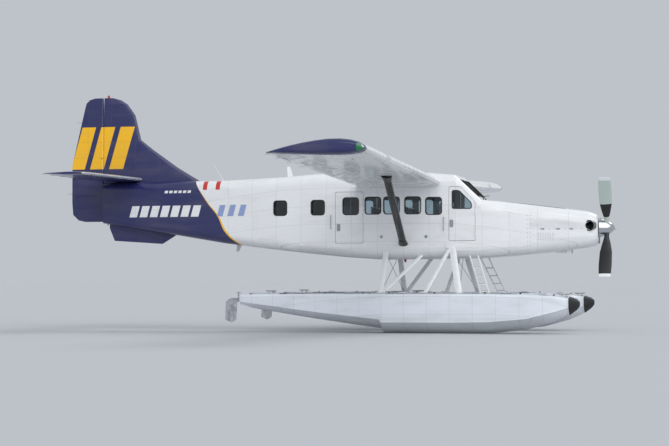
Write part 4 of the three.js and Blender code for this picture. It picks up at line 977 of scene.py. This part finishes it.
# Aerials: blades, a whip and a low dome. Columns of the blades: station, height, way up, length, chord
AERIALS = [(6.74, 1.283, 1, 0.20, 0.13), (7.62, 1.226, 1, 0.28, 0.14), (8.90, -0.355, -1, 0.17, 0.12)]
AERIAL_DOME = [(0.0, 0.032), (0.03, 0.030), (0.05, 0.018), (0.056, 0.0), (0.0, 0.0)]
bm = bmesh.new()
for station, height, way, tall, chord in AERIALS:
    outline = [place(station + chord * back, 0, height + way * tall * up)
               for back, up in ((0, 0), (1, 0), (1.15, 1), (0.6, 1))]
    plate(bm, outline, flat, (0, 1, 0), lift=-0.007, thick=0.014, corner=0.02)
    slab(bm, place(station + chord / 2, 0, height), (chord * 1.5, 0.05, 0.012), 0.005)
rod(bm, place(9.35, 0, 1.165), place(9.62, 0, 1.58), 0.005, 0.002, 8)
stud(bm, place(9.35, 0, 1.172), UP, 0.02, 0.012)
piece("aerials", white_enamel, bm)

bm = bmesh.new()
lathe(bm, AERIAL_DOME, place(3.78, 0, 1.236), UP)
piece("satellite_aerial", white_enamel, bm)

# Lights: beacons on the fin and the belly, and a smaller tail light. Columns of the dome: radius, height
DOME = [(0.0, 0.075), (0.018, 0.070), (0.028, 0.052), (0.031, 0.020), (0.031, 0.0), (0.0, 0.0)]
FIN_BEACON = place(12.29, 0, 3.236)
BELLY_BEACON = place(4.9, 0, -0.712)
TAIL_LIGHT = place(12.30, 0, 0.165)
bm = bmesh.new()
lathe(bm, DOME, FIN_BEACON, UP)
lathe(bm, DOME, BELLY_BEACON, -UP)
piece("beacons", lens_red, bm)
bm = bmesh.new()
lathe(bm, [(radius * 0.7, along * 0.6) for radius, along in DOME], TAIL_LIGHT, -UP)
piece("tail_light", lens_clear, bm)

# Wing lights: lenses that are shells over the wing's leading edge
WING_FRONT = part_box("wing_left")[1].x
# The landing lights lie between these distances out.
LANDING_LIGHT = (6.35, 6.75)
for (side_name, side), lens in zip(SIDES.items(), (lens_red, lens_green)):
    bm = bmesh.new()
    ends = [(sideways(side, HALF_SPAN - 0.045), (0, -side, 0))]
    shell(bm, f"wing_{side_name}", [((WING_FRONT - 0.16, 0, 0), (-1, 0, 0)), *ends], 0.004)
    piece(f"navigation_light_{side_name}", lens, bm)
    bm = bmesh.new()
    ends = [(sideways(side, out), (0, side * way, 0)) for out, way in zip(LANDING_LIGHT, (-1, 1))]
    shell(bm, f"wing_{side_name}", [((WING_FRONT - 0.07, 0, 0), (-1, 0, 0)), *ends], 0.003)
    piece(f"landing_light_{side_name}", lens_clear, bm)

# Inspection covers, fuel caps, strut cuffs and tie-down rings
WING_COVERS = (1.35, 2.10, 2.85, 3.60, 4.60, 5.40, 6.20, 7.00, 7.80)
FLANK_COVERS = [(station, -0.36) for station in (4.05, 4.62, 5.15, 7.2)]
FUEL_CAPS = [(station, -0.20) for station in (4.25, 4.85, 5.30)]
COVER_BACK = 0.86
RING_BACK = 0.45
RING_OUT = 7.9
# Columns: station, distance out, height
STRUT_FOOT = (4.79, 0.74, -0.41)
STRUT_HEAD = (4.51, 4.04, 1.085)
upward, downward = onto(WING, UP), onto(WING, -UP)


def wing_height(side):
    """About how high the wing lies at a distance out."""
    return z_at(1.03) + 0.035 * abs(side)


bm = bmesh.new()
for side in SIDES.values():
    for out in WING_COVERS:
        spot = upward(Vector((WING_FRONT - COVER_BACK, side * out, wing_height(out))))
        stud(bm, spot, -UP, 0.075, 0.003, 24)
    for station, height in FLANK_COVERS:
        stud(bm, on_side(station, side, height), (0, side, 0), 0.055, 0.003, 24)
piece("inspection_covers", white_enamel, bm)

bm = bmesh.new()
for side in SIDES.values():
    for station, height in FUEL_CAPS:
        spot = on_side(station, side, height)
        stud(bm, spot, (0, side, 0), 0.042, 0.006, 24)
        slab(bm, spot + sideways(side, 0.008), (0.06, 0.006, 0.014), 0.002)
piece("fuel_caps", bare_aluminium, bm)


def cuff(bm, start, end, chord, thick, share):
    """A streamlined cuff on a strut, which tapers to a share of its size towards its end."""
    way = Vector(end) - Vector(start)
    up = way.normalized()
    fore = (Vector((1, 0, 0)) - up * up.x).normalized()
    turn = Matrix((fore * chord / 2, up.cross(fore) * thick / 2, up)).transposed().to_4x4()
    turn.translation = (Vector(start) + Vector(end)) / 2
    bmesh.ops.create_cone(bm, cap_ends=True, segments=20, radius1=1, radius2=share, depth=way.length,
                          matrix=turn)


bm = bmesh.new()
for side in SIDES.values():
    foot, head = (place(station, side * out, height) for station, out, height in (STRUT_FOOT, STRUT_HEAD))
    cuff(bm, foot.lerp(head, 0.018), foot.lerp(head, 0.085), 0.23, 0.10, 0.76)
    cuff(bm, foot.lerp(head, 0.97), foot.lerp(head, 0.905), 0.25, 0.11, 0.70)
piece("strut_cuffs", strut_enamel, bm)

bm = bmesh.new()
ring = [(0.020 + 0.004 * math.cos(a), 0.004 * math.sin(a)) for a in [math.pi * k / 4 for k in range(9)]]
for side in SIDES.values():
    spot = upward(Vector((WING_FRONT - RING_BACK, side * RING_OUT, wing_height(RING_OUT))))
    lathe(bm, ring, spot - UP * 0.016, (1, 0, 0), 16)
piece("tie_down_rings", bare_aluminium, bm)

# Static wicks on the trailing edges
ELEVATOR_HEIGHT = 1.24
AILERON_WICKS = (5.7, 6.7, 7.6, 8.4)
ELEVATOR_WICKS = (1.7, 2.3, 2.9)
# Columns: station, height
RUDDER_WICKS = [(13.23, 0.9), (13.23, 1.45), (12.985, 2.65)]
WICK_LENGTH = 0.13


def wicks(name, body, spots, way):
    """Thin static wicks that trail from an edge."""
    bm = bmesh.new()
    for spot in spots:
        rod(bm, spot + Vector((0.015, 0, 0)), spot + Vector(way) * WICK_LENGTH, 0.0035, 0.002, 6)
    piece(name, panel_plastic, bm, body)


for side_name, side in SIDES.items():
    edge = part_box(f"aileron_{side_name}")[0].x + 0.012
    spots = [downward(Vector((edge, side * out, wing_height(out)))) for out in AILERON_WICKS]
    wicks(f"aileron_wicks_{side_name}", f"aileron_{side_name}", spots, (-1, 0, -0.05))
spots = [place(12.745 + 0.03 * (2.9 - out), side * out, ELEVATOR_HEIGHT)
         for side in SIDES.values() for out in ELEVATOR_WICKS]
wicks("elevator_wicks", "elevator", spots, (-1, 0, 0))
wicks("rudder_wicks", "rudder", [place(station, 0, height) for station, height in RUDDER_WICKS], (-1, 0, 0))

# Trim tabs with their horns and rods
TAB_THICK = 0.002
# Columns: station, distance out
ELEVATOR_TAB = [(12.66, 0.9), (12.79, 0.9), (12.76, 1.9), (12.66, 1.9)]
# Columns: station, height
RUDDER_TAB = [(13.09, 0.45), (13.19, 0.45), (13.215, 1.35), (13.09, 1.35)]
bm = bmesh.new()
elevator_skin = skin_of("elevator_left", "elevator_right")
for side in SIDES.values():
    outline = [place(station, side * out, ELEVATOR_HEIGHT) for station, out in ELEVATOR_TAB]
    for look in (UP, -UP):
        plate(bm, outline, onto(elevator_skin, look), -look, thick=TAB_THICK)
    horn = place(12.68, side * 1.3, ELEVATOR_HEIGHT)
    slab(bm, horn - UP * 0.035, (0.03, 0.006, 0.07), 0.002)
    rod(bm, horn - UP * 0.06, place(12.36, side * 1.3, 1.205), 0.004, sides=8)
piece("elevator_trim_tabs", elevator_enamel, bm, "elevator")

bm = bmesh.new()
rudder_skin = skin_of("rudder")
outline = [place(station, 0, height) for station, height in RUDDER_TAB]
for look in (1, -1):
    plate(bm, outline, onto(rudder_skin, (0, look, 0)), (0, -look, 0), thick=TAB_THICK)
horn = place(13.10, -0.012, 0.85)
slab(bm, horn - Vector((0, 0.03, 0)), (0.03, 0.06, 0.006), 0.002)
rod(bm, horn - Vector((0, 0.055, 0)), place(12.62, -0.05, 0.85), 0.004, sides=8)
piece("rudder_trim_tab", elevator_enamel, bm, "rudder")

# Floats. Places on a deck are a station and a distance from the float's middle.
FLOATS = skin_of("float_left", "float_right")
DECK = -1.51
HATCHES = (1.45, 2.30, 4.65, 5.90, 7.05)
CLEATS = [(0.98, 0.0), (4.86, 0.36), (4.86, -0.36), (7.75, 0.0)]
PUMP_OUTS = (1.20, 1.95, 2.75, 3.90, 4.95, 5.55, 6.45, 7.40)
PULLEYS = [(8.22, 0.07), (5.35, 0.30)]
# Columns: front, rear
KEEL_STRIPS = [(0.92, 2.60), (5.12, 8.30)]
# Columns: station, half width, height of the chine
CHINE = [(0.89, 0.250, -1.817), (1.20, 0.360, -1.91), (1.80, 0.450, -2.06), (2.60, 0.480, -2.13),
         (3.40, 0.480, -2.146), (5.06, 0.480, -2.15)]
# Columns: radius, height
HATCH = [(0.0, 0.020), (0.105, 0.016), (0.125, 0.012), (0.135, 0.0), (0.0, -0.006)]
PUMP_OUT = [(0.0, 0.030), (0.018, 0.024), (0.022, 0.010), (0.022, -0.004), (0.0, -0.004)]


def on_deck(station, side):
    """The place on a float's deck at a distance out from the middle of the aircraft."""
    return onto(FLOATS, -UP)(place(station, side, DECK))


def cleat(bm, spot):
    """A bar on two posts and a foot plate."""
    for foot in (-0.05, 0.05):
        rod(bm, spot + Vector((foot, 0, -0.01)), spot + Vector((foot, 0, 0.05)), 0.012)
    rod(bm, spot + Vector((-0.12, 0, 0.052)), spot + Vector((0.12, 0, 0.052)), 0.013)
    slab(bm, spot, (0.17, 0.06, 0.012))


for side_name, side in SIDES.items():
    middle = side * FLOAT_SIDE

    bm = bmesh.new()
    for station in HATCHES:
        lathe(bm, HATCH, on_deck(station, middle), UP, 32)
    piece(f"float_hatches_{side_name}", float_enamel, bm)

    # The handles of the hatches are one piece with the cleats.
    bm = bmesh.new()
    for station in HATCHES:
        slab(bm, on_deck(station, middle) + UP * 0.022, (0.15, 0.022, 0.014))
    for station, shift in CLEATS:
        cleat(bm, on_deck(station, middle + shift))
    piece(f"float_cleats_{side_name}", bare_aluminium, bm)

    bm = bmesh.new()
    for station in PUMP_OUTS:
        lathe(bm, PUMP_OUT, on_deck(station, middle + side * 0.10), UP, 12)
    piece(f"pump_out_caps_{side_name}", black_rubber, bm)

    bm = bmesh.new()
    for out in (1, -1):
        line = [place(station, middle + out * (half + 0.004), height) for station, half, height in CHINE]
        rods(bm, zip(line, line[1:]), 0.014, 8)
    piece(f"spray_rails_{side_name}", float_enamel, bm)

    bm = bmesh.new()
    for front, rear in KEEL_STRIPS:
        outline = [place(station, middle + out * 0.024, -2.2)
                   for station, out in ((front, -1), (rear, -1), (rear, 1), (front, 1))]
        plate(bm, outline, onto(FLOATS, UP), -UP, thick=0.006, cell=0.30)
    piece(f"keel_strips_{side_name}", bare_aluminium, bm)

    # Steering bar on top of each water rudder, with cables that run between pulleys on the deck
    bm = bmesh.new()
    post = place(8.53, middle, -1.61)
    head = Vector((post.x, post.y, on_deck(8.40, middle).z + 0.035))
    slab(bm, head, (0.05, 0.30, 0.012))
    rod(bm, post, head + UP * 0.016, 0.016)
    piece(f"steering_bar_{side_name}", bare_aluminium, bm, f"water_rudder_{side_name}")

    bm = bmesh.new()
    for out in (1, -1):
        aft, fore = (on_deck(station, middle + out * shift) for station, shift in PULLEYS)
        slab(bm, aft + UP * 0.016, (0.06, 0.02, 0.04))
        rod(bm, aft + UP * 0.028, fore + UP * 0.028, 0.004, sides=6)
        slab(bm, fore + UP * 0.016, (0.06, 0.02, 0.04))
    piece(f"steering_cables_{side_name}", bare_aluminium, bm)

# Float struts: bolts at the feet, bracing wires with turnbuckles, and grips on the ladders
STRUT_SIDE = 1.42
STRUT_FEET = (3.37, 4.20, 5.20)
# Wires from the fuselage to the float on the other side. Columns: top station, foot station, top height
WIRES = [(3.62, 3.39, -0.62), (5.20, 5.20, -0.66)]
GRIPS = (0.3, 0.5, 0.7, 0.88)
bm = bmesh.new()
for side in SIDES.values():
    for station in STRUT_FEET:
        for along in (-0.07, 0.07):
            for out in (-0.045, 0.045):
                spot = place(station + along, side * STRUT_SIDE + out, -1.48)
                rod(bm, spot - UP * 0.01, spot + UP * 0.014, 0.013, sides=6)
piece("strut_bolts", bare_aluminium, bm)

bm = bmesh.new()
for station, foot, top in WIRES:
    for side in SIDES.values():
        start, end = place(station, side * 0.62, top), place(foot, -side * 1.30, -1.47)
        rod(bm, start, end, 0.006, sides=8)
        rod(bm, start.lerp(end, 0.90), start.lerp(end, 0.97), 0.012, sides=8)
for side in SIDES.values():
    rod(bm, place(3.41, side * 1.05, -1.64), place(5.16, -side * 1.05, -1.64), 0.006, sides=8)
piece("bracing_wires", bare_aluminium, bm)

# A grip lies on each rung, at a share of the way down the ladder.
bm = bmesh.new()
for side in SIDES.values():
    for share in GRIPS:
        spot = place(3.15 - 0.37 * share, side * (0.73 + 0.60 * share), -0.64 - 0.93 * share + 0.013)
        slab(bm, spot, (0.165, 0.046, 0.006), 0.002)
piece("ladder_grips", black_rubber, bm)

# Instrument panel: round dials with ticks and needles
PANEL_FACE = 3.115
SEAT_SIDE = 0.36
# Columns: side, height
DIALS = [(side * SEAT_SIDE + out, height)
         for side in SIDES.values() for out in (-0.11, 0, 0.11) for height in (0.37, 0.48)]
DIALS += [(out, 0.50) for out in (-0.08, 0.0, 0.08)]
DIAL_RADIUS = 0.042
DIAL_RING = [(DIAL_RADIUS, 0), (DIAL_RADIUS + 0.007, 0), (DIAL_RADIUS + 0.006, 0.008), (DIAL_RADIUS, 0.008),
             (DIAL_RADIUS, 0)]
TICKS = 10
TICK_ARC = 260
TICK = Matrix.Diagonal((0.002, 0.003, 0.009, 1))


def on_dial(angle):
    """The way from a dial's middle to an angle clockwise from its top."""
    return Vector((0, math.sin(angle), math.cos(angle)))


rings, marks = bmesh.new(), bmesh.new()
for side, height in DIALS:
    centre = place(PANEL_FACE, side, height)
    lathe(rings, DIAL_RING, centre, (-1, 0, 0), 20)
    for k in range(TICKS):
        angle = math.radians(TICK_ARC * k / (TICKS - 1) - TICK_ARC / 2)
        spot = Matrix.Translation(centre + on_dial(angle) * 0.034 - Vector((0.002, 0, 0)))
        bmesh.ops.create_cube(marks, size=1, matrix=spot @ Matrix.Rotation(-angle, 4, "X") @ TICK)
    # Each needle points its own way, worked out from the dial's place.
    angle = math.radians((side * 997 + height * 613) % 240 - 120)
    hub = centre - Vector((0.004, 0, 0))
    rod(marks, hub, hub + on_dial(angle) * 0.028, 0.0018, 0.001, 6)
piece("dial_rings", panel_plastic, rings)
piece("dial_marks", dial_white, marks)

# Radios with two knobs each, yokes, and engine levers
RADIOS = [0.42 - 0.062 * k for k in range(5)]
# Columns: side, length
LEVERS = [(-0.05, 0.13), (0.0, 0.15), (0.05, 0.12)]
bm = bmesh.new()
for height in RADIOS:
    slab(bm, place(PANEL_FACE + 0.006, 0, height), (0.014, 0.17, 0.054), 0.003)
    for side in (-0.07, 0.07):
        spot = place(PANEL_FACE + 0.012, side, height)
        rod(bm, spot, spot - Vector((0.014, 0, 0)), 0.009)
piece("radio_stack", cast_iron, bm)

bm = bmesh.new()
for side in SIDES.values():
    hub = place(3.34, side * SEAT_SIDE, 0.20)
    rod(bm, place(PANEL_FACE - 0.01, side * SEAT_SIDE, 0.20), hub, 0.015)
    slab(bm, hub, (0.03, 0.18, 0.035), 0.008)
    for end in (-1, 1):
        grip = hub + sideways(end, 0.10)
        rod(bm, grip - UP * 0.02, grip + Vector((0, end * 0.025, 0.11)), 0.013)
for side, tall in LEVERS:
    base = place(3.17, side, 0.055)
    rod(bm, base, base + Vector((-0.03, 0, tall)), 0.005)
    rod(bm, *[base + Vector((-0.03, out, tall)) for out in (-0.014, 0.014)], 0.014)
piece("yokes_and_levers", panel_plastic, bm)

# Seats: tube frames and moulded shells in place of the plain blocks, with stuffed cushions on them
FLOOR = -0.449
CREW_ROW = 3.42
CABIN_ROWS = (4.30, 5.08, 6.85)
LEGS_ALONG = (0.14, 0.36)
LEGS_OUT = (-0.13, 0.13)
SEAT_DEPTH = 0.5


def seat_frame(bm, front, side):
    """A seat's pan and back shell on a tube base."""
    def at(along, out, height):
        return place(front + along, side + out, height)
    slab(bm, at(0.24, 0, -0.118), (0.46, 0.43, 0.024), 0.010)
    slab(bm, at(0.517, 0, 0.22), (0.024, 0.43, 0.58), 0.011)
    for along in LEGS_ALONG:
        rods(bm, [(at(along, out, FLOOR), at(along, out, -0.12)) for out in LEGS_OUT], 0.013)
    for out in LEGS_OUT:
        rod(bm, at(0.14, out, FLOOR + 0.02), at(0.36, out, -0.14), 0.010)
        rod(bm, at(0.13, out, FLOOR + 0.013), at(0.37, out, FLOOR + 0.013), 0.012)
    rods(bm, [[at(along, out, FLOOR + 0.15) for out in LEGS_OUT] for along in LEGS_ALONG], 0.010)


for name, rows in (("crew_seats", (CREW_ROW,)), ("cabin_seats", CABIN_ROWS)):
    bm = bmesh.new()
    length = rows[-1] - rows[0] + SEAT_DEPTH
    for side in (SEAT_SIDE, -SEAT_SIDE):
        for row in rows:
            seat_frame(bm, row, side)
        slab(bm, place(rows[0] + length / 2, side, FLOOR + 0.012), (length, 0.04, 0.024), 0.003)
    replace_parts(piece(f"{name}_frames", bare_aluminium, bm, slot=SLOT_OF[name]), name)


# Cushions have two sewn channels in the face that is leaned or sat on, and piping round the edge.
# Their mesh is fine enough to do without a subdivision, and sixteen finer ones would be too heavy.
CUSHION_MESH = 0.0055
SWELL = 0.012
PRESSURE = 4.0
SWELL_FRAMES = 20
CHANNEL_HALF = 0.014
CHANNEL_DEPTH = 0.006
PIPING_RADIUS = 0.005
PIPING_POINTS = 80
# Columns: kind, size, place behind the seat's front, height, axis across the channels, channels, face,
# plane of the piping
CUSHIONS = [
    ("seat", (0.40, 0.40, 0.070), 0.225, -0.055, 0, (-0.065, 0.065), (2, 1), (0, 1)),
    ("back", (0.058, 0.40, 0.49), 0.462, 0.24, 2, (-0.08, 0.08), (0, 1), (1, 2)),
]
SEATS = [(row, side) for row in (CREW_ROW,) + CABIN_ROWS for side in (SEAT_SIDE, -SEAT_SIDE)]


def apply_modifiers(made):
    """Bakes a piece's modifiers into its mesh."""
    depsgraph = bpy.context.evaluated_depsgraph_get()
    shaped = bpy.data.meshes.new_from_object(made.evaluated_get(depsgraph))
    made.modifiers.clear()
    made.data = shaped


def stuffed(name, size):
    """A soft-edged block at the origin, swollen by cloth pressure by no more than SWELL metres."""
    bm = bmesh.new()
    slab(bm, Vector(), size, min(size) * 0.35)
    made = in_scene(name, meshed(name, bm))
    net = made.modifiers.new("net", "REMESH")
    net.mode, net.voxel_size, net.use_smooth_shade = "VOXEL", CUSHION_MESH, True
    apply_modifiers(made)
    start = [vert.co.copy() for vert in made.data.vertices]
    cloth = made.modifiers.new("cloth", "CLOTH")
    cloth.settings.use_pressure = True
    cloth.settings.uniform_pressure_force = PRESSURE
    cloth.settings.effector_weights.gravity = 0.0
    cloth.settings.quality = 4
    cloth.point_cache.frame_start, cloth.point_cache.frame_end = 1, SWELL_FRAMES
    for number in range(1, SWELL_FRAMES + 1):
        bpy.context.scene.frame_set(number)
    apply_modifiers(made)
    bpy.context.scene.frame_set(1)
    for vert, origin in zip(made.data.vertices, start):
        move = vert.co - origin
        if move.length > SWELL:
            vert.co = origin + move.normalized() * SWELL
    made.data.shade_smooth()
    return made


def sewn(made, across, channels, face):
    """Sinks sewn channels into one face of a cushion. Across and face are axes, and face has a sign."""
    axis, sign = face
    for vert in made.data.vertices:
        near = min(abs(vert.co[across] - channel) for channel in channels)
        if near < CHANNEL_HALF and sign * vert.co[axis] > 0:
            vert.co[axis] -= sign * CHANNEL_DEPTH * (1 - (near / CHANNEL_HALF) ** 2) ** 2


def piped(made, first, second):
    """The mesh of a piping cord round a cushion, in the plane of two axes."""
    skin = BVHTree.FromObject(made, bpy.context.evaluated_depsgraph_get())
    path = bpy.data.curves.new("piping", "CURVE")
    path.dimensions, path.bevel_depth, path.bevel_resolution = "3D", PIPING_RADIUS, 1
    line = path.splines.new("POLY")
    line.points.add(PIPING_POINTS - 1)
    line.use_cyclic_u = True
    for k, point in enumerate(line.points):
        angle = 2 * math.pi * k / PIPING_POINTS
        way = Vector()
        way[first], way[second] = math.cos(angle), math.sin(angle)
        point.co = (*skin.ray_cast(way, -way)[0], 1)
    holder = in_scene("piping", path)
    shaped = bpy.data.meshes.new_from_object(holder.evaluated_get(bpy.context.evaluated_depsgraph_get()))
    bpy.data.objects.remove(holder)
    return shaped


piping = bmesh.new()
for kind, size, along, height, across, channels, face, plane in CUSHIONS:
    first = stuffed(f"{kind}_stuffing", size)
    cord = piped(first, *plane)
    sewn(first, across, channels, face)
    first.data.materials.clear()
    first.data.materials.append(seat_cloth)
    for number, (row, side) in enumerate(SEATS, 1):
        spot = Matrix.Translation(place(row + along, side, height))
        mesh = first.data.copy()
        mesh.transform(spot)
        soft_piece = in_scene(f"{kind}_cushion_{number}", mesh)
        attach(soft_piece, "airframe")
        edge = cord.copy()
        edge.transform(spot)
        piping.from_mesh(edge)
    bpy.data.objects.remove(first)
piece("cushion_piping", lining_vinyl, piping)

# Lap belts: two straps each, from the seat's sides over its edges to a buckle
belts, buckles = bmesh.new(), bmesh.new()
for row, side in SEATS:
    for end in (-1, 1):
        start = place(row + 0.36, side + end * 0.20, -0.03)
        over = place(row + 0.33, side + end * 0.17, 0.002)
        buckle = place(row + 0.22, side + end * 0.03, 0.008)
        for a, b in ((start, over), (over, buckle)):
            slab(belts, (0, 0, 0), (0.045, (b - a).length + 0.01, 0.003), 0.001, between(a, b, "Y", "Z"))
    slab(buckles, place(row + 0.22, side, 0.012), (0.05, 0.06, 0.014))
piece("lap_belts", belt_webbing, belts)
piece("belt_buckles", bare_aluminium, buckles)

# Camera, light and floor
# The photograph was taken from 46 m, a little ahead of the right beam and 1.25 m above the keel line.
CAMERA_AZIMUTH = math.radians(13.5)
CAMERA_DISTANCE = 46.3
CAMERA_HEIGHT = 1.25
AIM = (0, 0, 2.55)
LENS = 105
FLOOR_RADIUS = 450
FLOOR_GREY = "bec0c4"
STUDIO_WHITE = "ebf1f9"
STUDIO_STRENGTH = 0.62


def aimed(name, data, spot, target, **settings):
    """A camera or a light at a spot, turned towards its target."""
    for key, value in settings.items():
        setattr(data, key, value)
    made = in_scene(name, data)
    made.location = spot
    made.rotation_euler = (Vector(target) - Vector(spot)).to_track_quat("-Z", "Y").to_euler()
    return made


spot = Vector((math.sin(CAMERA_AZIMUTH), -math.cos(CAMERA_AZIMUTH), 0)) * CAMERA_DISTANCE
bpy.context.scene.camera = aimed("camera", bpy.data.cameras.new("camera"), spot + UP * CAMERA_HEIGHT, AIM,
                                 lens=LENS, clip_end=2000)
# Soft studio light: a broad one from the near side, and a narrower one from behind, where the sun of the
# photograph is. Columns: name, place that it shines from, strength, width in degrees
LIGHTS = [("far_light", (9, 14, 17), 0.8, 30), ("near_light", (12, -20, 15), 1.65, 70)]
for name, spot, energy, width in LIGHTS:
    aimed(name, bpy.data.lights.new(name, "SUN"), spot, (0, 0, 0), energy=energy, angle=math.radians(width))

bm = bmesh.new()
bmesh.ops.create_circle(bm, cap_ends=True, segments=96, radius=FLOOR_RADIUS)
floor = in_scene("floor", meshed("floor", bm))
floor.data.materials.append(material(
    "pale_matt_floor", {"Base Color": srgb(FLOOR_GREY), "Roughness": 0.9, "Specular IOR Level": 0.1}))

world = bpy.data.worlds.new("studio")
world.use_nodes = True
background = world.node_tree.nodes["Background"]
background.inputs["Color"].default_value = srgb(STUDIO_WHITE)
background.inputs["Strength"].default_value = STUDIO_STRENGTH
bpy.context.scene.world = world
bpy.context.scene.view_settings.view_transform = "Standard"
